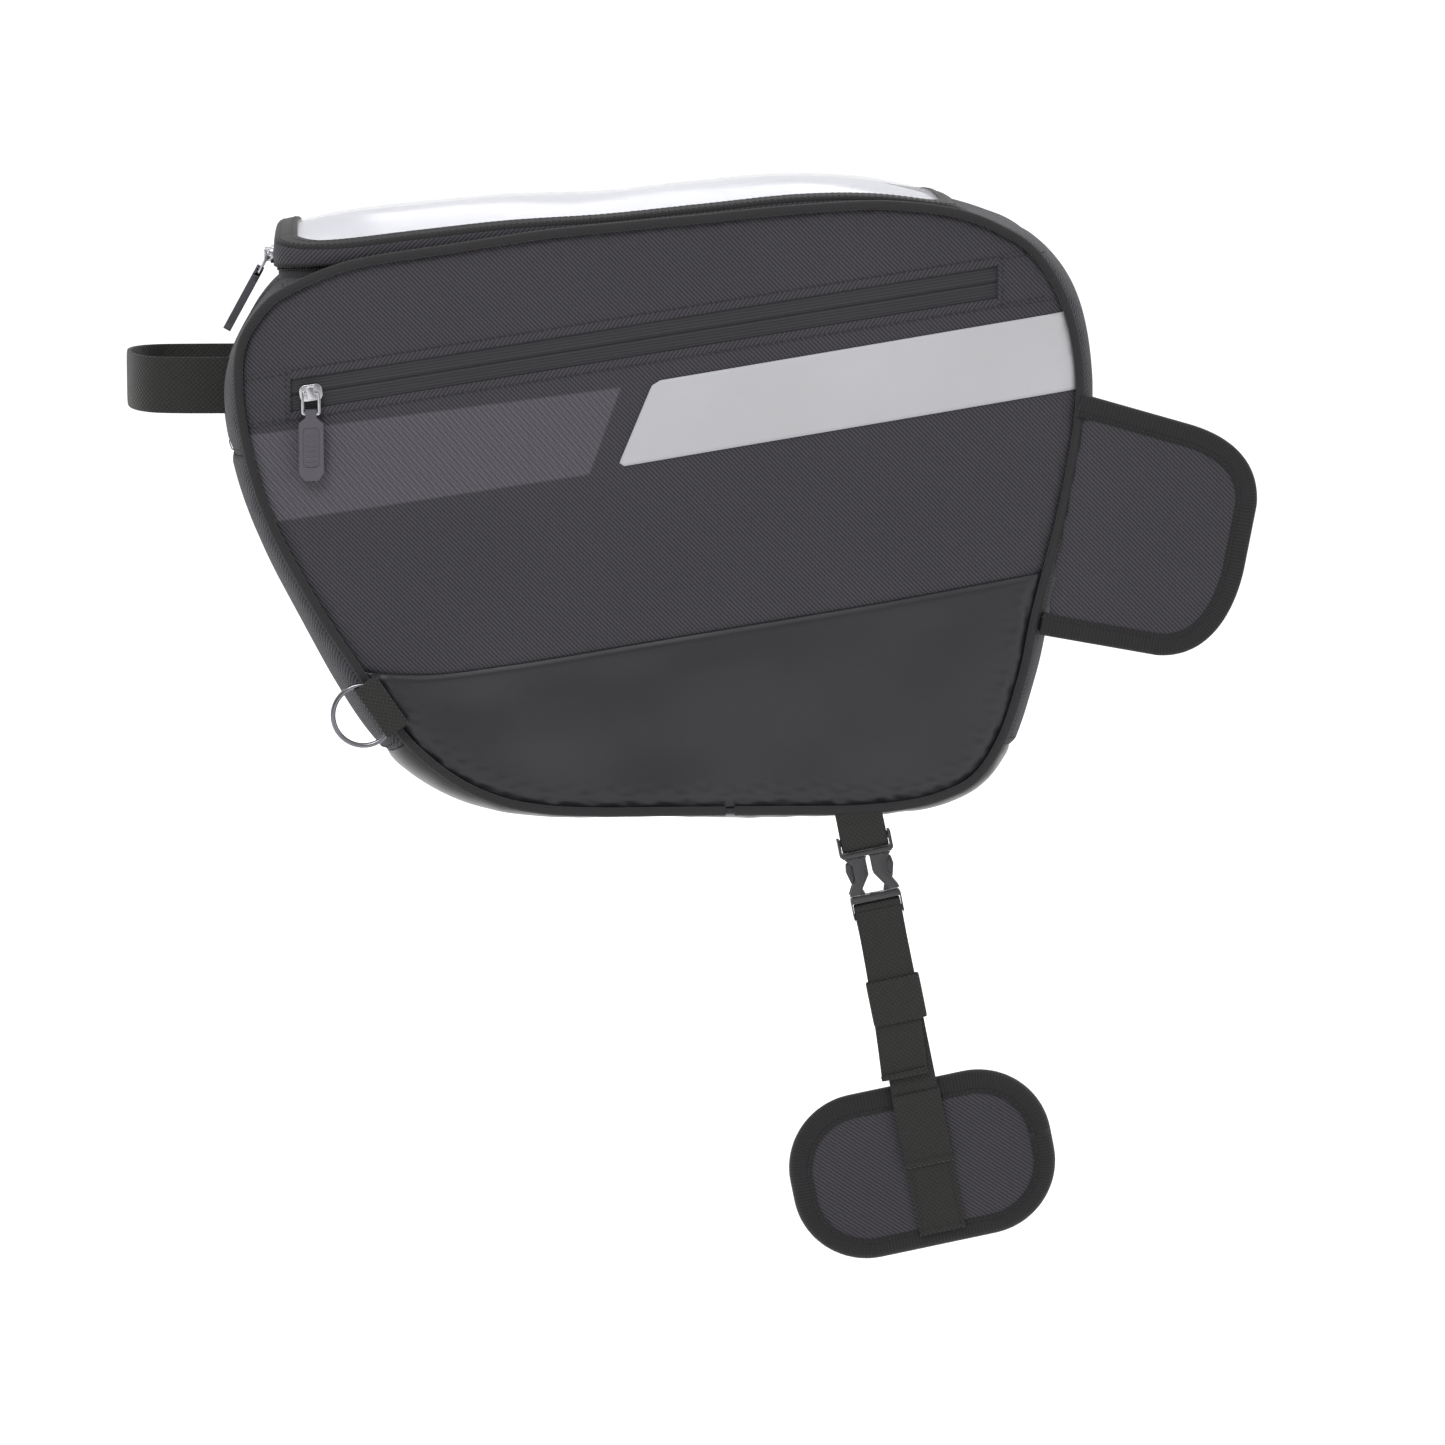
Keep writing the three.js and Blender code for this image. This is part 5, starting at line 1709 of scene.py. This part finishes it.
# ------------------------------------------------------------------ sliders and pulls
@dataclass
class Pull:
    """A zip slider with its wire link and moulded grip."""

    finishes: Finishes
    beads: BeadRun
    kind: str
    side: str
    lean: float = math.radians(29)

    def build_ribs(self) -> None:
        """Small finger ribs in the grip's sunken face."""
        pivot = np.array(JOINTS[f"{self.kind}_grip_hinge_{self.side}"]["pos_m"], float)
        sign = -1 if self.side == "left" else 1
        if self.kind == "pocket":
            down, out = np.array([0, 0, -1.0]), np.array([0, sign * 1.0, 0])
        else:
            down = np.array([-math.sin(self.lean), 0, -math.cos(self.lean)])
            out = np.array([-math.cos(self.lean), 0, math.sin(self.lean)])
        node = f"{self.kind}_grip_{self.side}"
        low, high = (np.array(corner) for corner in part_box(node))
        reach = max(float((corner - pivot) @ out) for corner in (low, high, [low[0], low[1], high[2]]))
        reach = min(reach, 2.7 * MM)
        start = pivot + down * 11.5 * MM + out * (reach - 0.75 * MM)
        line = np.linspace(start, start + down * 16 * MM, 5)
        ribs = self.beads.run(f"{node}_ribs", [line], tuple(out), self.finishes.rubber, 2.6, (1.2, 6.0, 0.9))
        settle(ribs, node, "soft_rubber")

    def build(self) -> None:
        """Round the slider's, link's and grip's edges and dress them."""
        look = self.finishes
        parts = [
            ("slider", 0.55, look.nickel, "nickel"),
            ("link", 0.45, look.nickel, "nickel"),
            ("grip", 0.7, look.rubber, "soft_rubber"),
        ]
        for part, bevel, material, slot in parts:
            node = f"{self.kind}_{part}_{self.side}"
            piece = bake_modifiers(refined(node, f"{node}_part", bevel))
            settle(dress(piece, material), node, slot, node)
        self.build_ribs()


# ------------------------------------------------------------------ handle and ring
@dataclass
class Handle:
    """The webbing loop at the front end."""

    finishes: Finishes
    beads: BeadRun
    width: float = 30 * MM
    thick: float = 2.6 * MM
    middle_z: float = 232 * MM
    plan_mm: tuple = ((-244, 50), (-253, 50), (-275, 49), (-289, 45), (-298, 33), (-303.5, 0))

    def build(self) -> None:
        """Sweep the webbing round the loop."""
        half = np.array(self.plan_mm, float) * MM
        control = np.vstack([half * [1, -1], half[::-1][1:]])
        plan = resample(catmull(control, np.linspace(0, len(control) - 1.001, 300), False), 1.5 * MM)
        path = np.column_stack([plan, np.full(len(plan), self.middle_z)])
        path[:, 2] += 1.2 * MM * np.cos(plan[:, 1] / (55 * MM) * math.pi / 2)
        tangent = unit(np.gradient(path, axis=0))
        through = unit(np.cross(tangent, [0, 0, 1.0]))
        band = sweep("handle_webbing", path, np.array([0, 0, 1.0]), through, flat_profile(self.width, self.thick))
        dress(band, self.finishes.webbing)
        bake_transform(band)
        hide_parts("handle")
        LOG.info("handle_webbing bends between bag and handle")


@dataclass
class RingAndSleeve:
    """The round ring and the webbing sleeve that holds it in the near seam."""

    finishes: Finishes
    beads: BeadRun
    radius: float = 16 * MM
    wire: float = 1.3 * MM

    def build(self) -> None:
        """Build the ring and its sleeve."""
        centre = np.array(JOINTS["ring_spin"]["pos_m"])
        angle = np.linspace(0, 2 * math.pi, 97)[:-1]
        out = np.stack([np.cos(angle), 0 * angle, np.sin(angle)], axis=1)
        ring = sweep(
            "ring_wire", centre + out * self.radius, out, np.array([0, 1.0, 0]), round_profile(self.wire, 16), True
        )
        settle(dress(ring, self.finishes.dark_nickel), "ring", "nickel", "ring")
        middle = np.array([-168.5 * MM, centre[1], 66 * MM])
        along = unit(np.array([[-23.0, 0, 34.0]]))[0]
        outward = np.array([-along[2], 0, along[0]])
        t = np.linspace(-1, 1, 41)
        profile_t = np.linspace(0, 2 * math.pi, 33)[:-1]
        c, s = np.cos(profile_t), np.sin(profile_t)
        across = np.sign(c) * np.abs(c) ** 0.6 * 7.0 * MM
        through = np.sign(s) * np.abs(s) ** 0.75 * 2.8 * MM
        path = middle + along * (t * 15.3 * MM)[:, None]
        sleeve = sweep(
            "ring_sleeve_webbing", path, outward, np.array([0, 1.0, 0]), np.stack([across, through], axis=1)
        )
        settle(dress(sleeve, self.finishes.webbing), "bag", "webbing", "ring_tab")


# ------------------------------------------------------------------ padded pieces
def plump(piece: bpy.types.Object, voxel: float, cap: float, pressure: float) -> bpy.types.Object:
    """Swell a closed pad by cloth simulation, never further than a cap.

    Args:
        piece: the closed pad.
        voxel: size of the even mesh that it is simulated on.
        cap: the furthest that a point may move.
        pressure: how hard it is stuffed.

    Returns:
        The same object with its swollen mesh.
    """
    remesh = piece.modifiers.new("even", "REMESH")
    remesh.mode = "VOXEL"
    remesh.voxel_size = voxel
    bake_modifiers(piece)
    before = np.array([v.co for v in piece.data.vertices], float)
    cloth = piece.modifiers.new("stuffing", "CLOTH")
    cloth.settings.use_pressure = True
    cloth.settings.uniform_pressure_force = pressure
    cloth.settings.effector_weights.gravity = 0
    cloth.settings.quality = 6
    cloth.settings.tension_stiffness = 18
    cloth.settings.bending_stiffness = 2.0
    cloth.point_cache.frame_start = 1
    cloth.point_cache.frame_end = 20
    for number in range(1, 21):
        bpy.context.scene.frame_set(number)
    bake_modifiers(piece)
    bpy.context.scene.frame_set(1)
    after = np.array([v.co for v in piece.data.vertices], float)
    move = after - before
    size = np.linalg.norm(move, axis=1, keepdims=True)
    move *= np.minimum(1, cap / np.maximum(size, 1e-9))
    piece.data.vertices.foreach_set("co", (before + move).ravel())
    piece.data.update()
    return piece


@dataclass
class BoundPad:
    """A padded piece with a binding folded round its edge.

    Attributes:
        name: the pad's name.
        body: its CAD body.
        nodes: the pad's and the binding's CAD nodes.
        loop: the outline in the pad's own plane, in metres.
        origin: where the plane's zero is.
        across: the plane's first axis.
        up: the plane's second axis.
        facing: the way the pad's outer face looks.
        thick: the pad's thickness.
        binding: the binding's width.
        closed: whether the binding goes all the way round.
        start: first point of an open binding's run; not used.
    """

    finishes: Finishes
    beads: BeadRun
    name: str
    body: str
    nodes: tuple[str, str]
    loop: np.ndarray
    origin: np.ndarray
    across: np.ndarray
    up: np.ndarray
    facing: np.ndarray
    thick: float
    binding: float = 12 * MM
    closed: bool = True
    crown: float = 1.5 * MM

    def world(self, points: np.ndarray, depth: np.ndarray | float) -> np.ndarray:
        """Turn plane coordinates and a depth towards the viewer into frame points."""
        depth = np.broadcast_to(depth, points.shape[:-1])[..., None]
        return self.origin + points[..., :1] * self.across + points[..., 1:] * self.up + depth * self.facing

    def build_pad(self) -> None:
        """A foam pad whose cloth simulation swells it nearly evenly, because the cap stops most of it."""
        centre = self.loop.mean(axis=0)
        inner = centre + (self.loop - centre) * (1 - 1.5 * MM / np.abs(self.loop - centre).max())
        points, faces, share = fan(inner, centre, 18)
        edge = np.sqrt(np.maximum(0, 1 - share**8))
        depth = (self.thick / 2) * (0.55 + 0.45 * edge)
        front, back = self.world(points, depth), self.world(points, -depth)
        pad = closed_fan(self.name, front, back, faces, len(inner), None)
        plump(pad, 3.2 * MM, self.crown, 4.0)
        place = np.array([v.co for v in pad.data.vertices], float) - self.origin
        weave = np.stack([place @ self.across, place @ self.up], axis=1)
        attribute = pad.data.attributes.new("weave", "FLOAT2", "POINT")
        attribute.data.foreach_set("vector", weave.astype(np.float32).ravel())
        pad.data.polygons.foreach_set("use_smooth", [True] * len(pad.data.polygons))
        soft = pad.modifiers.new("smooth", "SUBSURF")
        soft.levels = soft.render_levels = 1
        bake_modifiers(pad)
        dress(pad, self.finishes.woven)
        settle(pad, self.body, "woven_cloth", self.nodes[0])

    def build_binding(self) -> None:
        """Binding tape folded over the pad's edge, with a row of stitches near its inner edge."""
        loop = self.loop
        tangent = np.gradient(loop, axis=0)
        if self.closed:
            tangent = (np.roll(loop, -1, axis=0) - np.roll(loop, 1, axis=0)) / 2
        tangent = unit(tangent)
        inward = np.stack([-tangent[:, 1], tangent[:, 0]], axis=1)
        if np.sum((loop.mean(axis=0) - loop) * inward) < 0:
            inward = -inward
        half = self.thick / 2 + 0.9 * MM
        width = self.binding
        turn = np.linspace(-math.pi / 2, math.pi / 2, 9)
        fold = np.stack([half - half * np.cos(turn), half * np.sin(turn)], axis=1)
        outer = np.vstack([[[width, -half]], [[width * 0.6, -half - 0.2 * MM]], fold])
        outer = np.vstack([outer, [[width * 0.6, half + 0.2 * MM]], [[width, half]]])
        inner = outer.copy()[::-1]
        inner[:, 1] *= 1 - 1.2 * MM / half
        inner[:, 0] += np.where(inner[:, 0] < half, 1.0 * MM, 0)
        profile = np.vstack([outer, inner])
        points = loop[:, None, :] + inward[:, None, :] * profile[None, :, :1]
        ring = self.world(points, profile[None, :, 1])
        count, sides = ring.shape[:2]
        along = np.concatenate([[0], np.cumsum(np.linalg.norm(np.diff(loop, axis=0), axis=1))])
        girth = np.concatenate([[0], np.cumsum(np.linalg.norm(np.diff(profile, axis=0), axis=1))])
        weave = np.stack(np.meshgrid(along, girth, indexing="ij"), axis=-1).reshape(-1, 2)
        faces = grid_faces(count, sides, close_rows=self.closed, close_columns=True)
        flat = ring.reshape(-1, 3)
        if not self.closed:
            faces.append(tuple(range(sides)))
            faces.append(tuple(range((count - 1) * sides, count * sides))[::-1])
        tape = dress(make_mesh(self.name + "_binding", flat, faces, weave), self.finishes.binding)
        settle(tape, self.body, "binding_tape", self.nodes[1])
        rows = []
        for side in (1, -1):
            line = loop + inward * (width - 2.0 * MM)
            row = self.world(line, side * (half + 0.25 * MM))
            rows.append(np.vstack([row, row[:1]]) if self.closed else row)
        stitches = self.beads.run(self.name + "_stitches", rows, tuple(self.facing), self.finishes.thread)
        settle(stitches, self.body, "binding_tape")

    def build(self) -> None:
        """Build the pad and its binding."""
        self.build_pad()
        self.build_binding()


def flap_loop() -> np.ndarray:
    """Outline of the flap in x and z, open along the sewn edge.

    Returns:
        Points of the outline.
    """

    def bezier(p: tuple, q: tuple, r: tuple, s: tuple) -> np.ndarray:
        """Points of one cubic curve."""
        t = np.linspace(0, 1, 24)[:, None]
        a, b, c, d = (np.array(v, float) for v in (p, q, r, s))
        return a * (1 - t) ** 3 + 3 * b * t * (1 - t) ** 2 + 3 * c * t**2 * (1 - t) + d * t**3

    parts = [
        np.array([[202, 229.5], [258, 213.5]]),
        bezier((258, 213.5), (283, 206.5), (297, 192), (295.5, 170)),
        np.array([[289, 135]]),
        bezier((289, 135), (283, 108), (268, 88), (243, 90)),
        np.array([[180, 101.5]]),
    ]
    return resample(np.vstack(parts) * MM, 2.2 * MM)


def pad_loop(length: float, height: float, corner: float, shift: float) -> np.ndarray:
    """Outline of the strap pad in its own plane, centred on zero but for a shift across the strap.

    Args:
        length: length of the pad.
        height: its height.
        corner: radius of its corners.
        shift: how far it lies across the strap.

    Returns:
        Points of the outline.
    """
    turn = np.linspace(0, math.pi / 2, 20)
    w, h = length / 2 - corner, height / 2 - corner
    arcs = [(w, h, 0.0), (-w, h, 0.5 * math.pi), (-w, -h, math.pi), (w, -h, 1.5 * math.pi)]
    parts = [
        np.stack([shift + x + corner * np.cos(a + turn), z + corner * np.sin(a + turn)], axis=1) for x, z, a in arcs
    ]
    return resample(np.vstack(parts), 2.2 * MM, closed=True)


# ------------------------------------------------------------------ strap
@dataclass
class Strap:
    """The buckled strap: sewn tab, side-release buckle, webbing with its folded tail, keeper and pad."""

    finishes: Finishes
    beads: BeadRun
    width: float = 25 * MM
    thick: float = 1.8 * MM
    root: np.ndarray = field(default_factory=lambda: np.array(JOINTS["strap_root"]["pos_m"], float))
    across: np.ndarray = field(default_factory=lambda: np.array(JOINTS["strap_root"]["axis"], float))

    @property
    def down(self) -> np.ndarray:
        """The way the strap hangs."""
        return np.array([self.across[2], 0, -self.across[0]])

    def at(self, depth_mm: object, along_mm: object) -> np.ndarray:
        """Points on the strap's middle line, given the depth towards the bag and the distance along it."""
        depth = np.asarray(depth_mm, float)[..., None] * MM * np.array([0, 1.0, 0])
        return self.root + depth + np.asarray(along_mm, float)[..., None] * MM * self.down

    def band(
        self, name: str, line_mm: list, width: float, thick: float, spacing: float = 1.2 * MM, drift_mm: float = 0.0
    ) -> bpy.types.Object:
        """Webbing along a line of places.

        Args:
            name: the piece's name.
            line_mm: (depth, along) of each place.
            width: the webbing's width.
            thick: its thickness.
            spacing: distance between its cross sections.
            drift_mm: how far its last end has slipped sideways.

        Returns:
            The webbing's mesh.
        """
        line = np.array(line_mm, float)
        path = resample(self.at(line[:, 0], line[:, 1]), spacing)
        path = path + np.linspace(0, 1, len(path))[:, None] ** 2 * drift_mm * MM * self.across
        tangent = unit(np.gradient(path, axis=0))
        through = unit(np.cross(tangent, self.across))
        return sweep(name, path, self.across, through, flat_profile(width, thick))

    def arc(self, depth: float, along: float, radius: float, start: float, end: float) -> list:
        """A bend of webbing round a bar, as (depth, along) places; angles in degrees from the strap's down."""
        turn = np.radians(np.linspace(start, end, 13))
        return [(depth + radius * math.sin(a), along + radius * math.cos(a)) for a in turn]

    def build_webbing(self) -> None:
        """Tab, main webbing with its folded tail, and keeper."""
        look = self.finishes
        tab = [(-0.9, -4.5), (-0.9, 2), (-2.6, 7), (-3.1, 10.9)] + self.arc(0, 13.3, 3.1, -90, 90)
        tab += [(3.1, 10.9), (2.6, 7), (1.0, 2), (1.0, -4.0)]
        loop = self.band("strap_tab_webbing", tab, self.width, 1.7 * MM)
        settle(dress(loop, look.webbing), "buckle_socket", "webbing", "strap_tab")
        main = [(-0.2, 230), (-0.2, 145), (0, 140), (0, 100), (0.2, 62), (1.6, 58.5), (3.2, 54.4)]
        main += self.arc(0, 49.3, 3.3, 90, 270)
        webbing = self.band("strap_main_webbing", main, self.width, self.thick)
        dress(webbing, look.webbing)
        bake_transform(webbing)
        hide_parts("strap_webbing", "pad_webbing")
        tail = [(-3.3, 49.3), (-3.3, 51.8), (-3.2, 54.4), (-2.7, 59), (-2.2, 65), (-2.2, 112), (-2.4, 139)]
        tail += [(-2.5, 141), (-3.1, 141.8), (-3.9, 141), (-4.0, 139.2)]
        end = self.band("strap_tail_webbing", tail, self.width, 1.6 * MM, 0.8 * MM, -4.0)
        settle(dress(end, look.webbing), "strap", "webbing")
        angle = np.linspace(0, 2 * math.pi, 49)[:-1]
        c, s = np.cos(angle), np.sin(angle)
        ring = np.stack([np.sign(c) * np.abs(c) ** 0.3 * 14.0, np.sign(s) * np.abs(s) ** 0.45 * 2.9 - 1.2], axis=1) * MM
        centre = self.at(0, 100)
        path = centre + ring[:, :1] * self.across + ring[:, 1:] * np.array([0, 1.0, 0])
        tangent = unit(np.roll(path, -1, axis=0) - np.roll(path, 1, axis=0))
        through = unit(np.cross(tangent, self.down))
        keeper = sweep("strap_keeper_elastic", path, self.down, through, flat_profile(24 * MM, 1.1 * MM, 20), True)
        settle(dress(keeper, look.webbing), "keeper", "webbing", "strap_keeper")
        lap = [(-1.3, 152), (-1.9, 154), (-1.9, 186), (-2.2, 190), (-1.4, 192)]
        over = self.band("pad_cross_lap", lap, self.width + 1.0 * MM, 1.3 * MM)
        settle(dress(over, look.webbing), "pad", "webbing")

    def build_stitching(self) -> None:
        """Rows of thread on the webbing: edges of the part on the pad and the tail's end."""

        def row(points: list) -> np.ndarray:
            """Points given as (across, depth, along) in millimetres."""
            table = np.array(points, float)
            return self.at(table[:, 1], table[:, 2]) + table[:, :1] * MM * self.across

        rows = [row([(side * 10.3, -1.25, 156), (side * 10.3, -1.25, 228)]) for side in (-1, 1)]
        rows += [row([(-10.3, -1.25, a), (10.3, -1.25, a)]) for a in (156, 227)]
        rows += [row([(-11.3, -2.9, 188.5), (11.3, -2.9, 188.5)])]
        stitches = self.beads.run("pad_cross_stitches", rows, (0, -1, 0), self.finishes.thread)
        settle(stitches, "pad", "webbing")
        tail = [row([(-15, -4.9, 140.2), (8, -4.9, 140.2)])]
        stitches = self.beads.run("tail_stitches", tail, (0, -1, 0), self.finishes.thread)
        settle(stitches, "strap", "webbing")

    def opening(self, name: str, outline_mm: list, low: float = -9.0, high: float = 9.0) -> bpy.types.Object:
        """A cutter through the buckle, from (across, along) places.

        Args:
            name: the cutter's name.
            outline_mm: (across, along) places round the opening.
            low: depth where it starts.
            high: depth where it ends.

        Returns:
            The cutter.
        """
        table = np.array(outline_mm, float)
        ring = self.at(np.full(len(table), low), table[:, 1]) + table[:, :1] * MM * self.across
        return bar(name, ring, np.array([0, (high - low) * MM, 0]))

    def build_buckle(self) -> None:
        """Socket, plug and prongs with moulded edges, a slot down the middle and the gap between the legs."""
        slot = self.opening("slot_cutter", [(-1.3, 21), (0, 19.6), (1.3, 21), (1.3, 31), (-1.3, 31)])
        gap = self.opening("gap_cutter", [(-1.3, 30), (1.3, 30), (8.6, 41), (-8.6, 41)])
        guide = self.opening("guide_cutter", [(-4, 20), (4, 20), (4, 40.8), (-4, 40.8)])
        cuts = {"socket_face": (slot, gap), "socket_back": (slot, gap), "buckle_plug": (guide,)}
        for node, body, bevel in (
            ("socket_frame", "buckle_socket", 0.7),
            ("socket_face", "buckle_socket", 0.75),
            ("socket_back", "buckle_socket", 0.75),
            ("buckle_plug", "buckle_plug", 0.8),
            ("plug_prong_rear", "prong_rear", 0.8),
            ("plug_prong_front", "prong_front", 0.8),
        ):
            piece = bake_modifiers(refined(node, f"{node}_moulding", bevel, cuts.get(node, ())))
            settle(dress(piece, self.finishes.acetal), body, "acetal", node)
        for cutter in (slot, gap, guide):
            bpy.data.objects.remove(cutter)

    def build(self) -> None:
        """Build the whole strap."""
        self.build_webbing()
        self.build_stitching()
        self.build_buckle()
        BoundPad(
            self.finishes,
            self.beads,
            "strap_pad_cushion",
            "pad",
            ("strap_pad", "pad_binding"),
            pad_loop(143 * MM, 91 * MM, 40 * MM, -3.5 * MM),
            self.at(7.1, 193),
            self.across,
            -self.down,
            np.array([0, -1.0, 0]),
            10 * MM,
            crown=0.8 * MM,
        ).build()


# ------------------------------------------------------------------ studio
@dataclass
class Studio:
    """Pale floor and backdrop, soft lights, and the camera."""

    azimuth: float = -3.0
    elevation: float = 8.0
    distance: float = 3.0
    frame_width: float = 0.766
    air: float = 1.14
    dim_air: float = 0.3
    floor_gap: float = 0.05
    target: tuple[float, float, float] = (0.0119, -0.096, 0.0557)

    def shade_air(self, tree: bpy.types.NodeTree) -> None:
        """White air all round, dimmer low down in front on the left, so that glossy cloth shows its shape.

        Args:
            tree: the world's nodes.
        """
        place = add_node(tree, "ShaderNodeTexCoord").outputs["Generated"]
        low_left = (-0.45, -0.86, -0.24)
        towards = add_node(tree, "ShaderNodeVectorMath", {"operation": "DOT_PRODUCT"}, _0=place, _1=low_left)
        level = add_node(
            tree,
            "ShaderNodeMapRange",
            {"interpolation_type": "SMOOTHSTEP"},
            _0=towards.outputs["Value"],
            _1=0.35,
            _2=1.0,
        )
        level.inputs[3].default_value = self.air
        level.inputs[4].default_value = self.dim_air
        tree.nodes["Background"].inputs["Color"].default_value = (1, 1, 1, 1)
        tree.links.new(level.outputs[0], tree.nodes["Background"].inputs["Strength"])

    def build(self) -> None:
        """Set up the floor, the lights and the camera."""
        scene = bpy.context.scene
        floor = make_mesh(
            "studio_floor",
            np.array([[-9, -9, 0], [9, -9, 0], [9, 9, 0], [-9, 9, 0]]) + [0, 0, CAD_BOX[0][2] - self.floor_gap],
            [(0, 1, 2, 3)],
        )
        white = bpy.data.materials.new("matt_white_floor")
        white.use_nodes = True
        white.node_tree.nodes.clear()
        shader = add_node(
            white.node_tree, "ShaderNodeBsdfPrincipled", Base_Color=(0.96, 0.96, 0.96, 1.0), Roughness=0.95
        )
        shader.inputs["Emission Color"].default_value = (1.0, 1.0, 1.0, 1.0)
        shader.inputs["Emission Strength"].default_value = 0.08
        add_node(white.node_tree, "ShaderNodeOutputMaterial", Surface=shader.outputs[0])
        dress(floor, white)
        world = bpy.data.worlds.new("studio_air")
        world.use_nodes = True
        self.shade_air(world.node_tree)
        scene.world = world
        scene.view_settings.view_transform = "Standard"
        lamps = [
            ("key", (-1.0, -1.8, 2.1), 1.0, 40),
            ("fill", (1.9, -1.6, 0.6), 1.4, 8),
            ("rim", (0.3, 2.0, 1.8), 1.4, 18),
        ]
        for name, place, size, power in lamps:
            light = bpy.data.lights.new(name, "AREA")
            light.size, light.energy = size, power
            lamp = bpy.data.objects.new(name, light)
            lamp.location = place
            lamp.rotation_euler = (Vector((0, 0, 0.15)) - Vector(place)).to_track_quat("-Z", "Y").to_euler()
            scene.collection.objects.link(lamp)
        a, e = math.radians(self.azimuth), math.radians(self.elevation)
        back = Vector((math.sin(a) * math.cos(e), -math.cos(a) * math.cos(e), math.sin(e)))
        lens = bpy.data.cameras.new("camera")
        lens.sensor_width = 36
        lens.lens = 36 * self.distance / self.frame_width
        camera = bpy.data.objects.new("camera", lens)
        camera.location = Vector(self.target) + back * self.distance
        camera.rotation_euler = (-back).to_track_quat("-Z", "Y").to_euler()
        scene.collection.objects.link(camera)
        scene.camera = camera


def main() -> None:
    """Build the bag in order, then the studio."""
    logging.basicConfig(level=logging.INFO, format="%(name)s: %(message)s")
    Studio().build()
    finishes = Finishes()
    beads = BeadRun()
    Gusset(finishes, beads).build()
    for side in (-1, 1):
        SideWall(finishes, beads, side).build()
    Lid(finishes, beads).build()
    for kind in ("pocket", "main"):
        for side in ("left", "right"):
            Pull(finishes, beads, kind, side).build()
    Handle(finishes, beads).build()
    RingAndSleeve(finishes, beads).build()
    BoundPad(
        finishes,
        beads,
        "flap_cushion",
        "flap",
        ("flap_pad", "flap_binding"),
        flap_loop(),
        np.array([0, -95.8 * MM, 0]),
        np.array([1.0, 0, 0]),
        np.array([0, 0, 1.0]),
        np.array([0, -1.0, 0]),
        5 * MM,
        closed=False,
        crown=0.8 * MM,
    ).build()
    Strap(finishes, beads).build()
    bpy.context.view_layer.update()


if __name__ == "__main__":
    main()
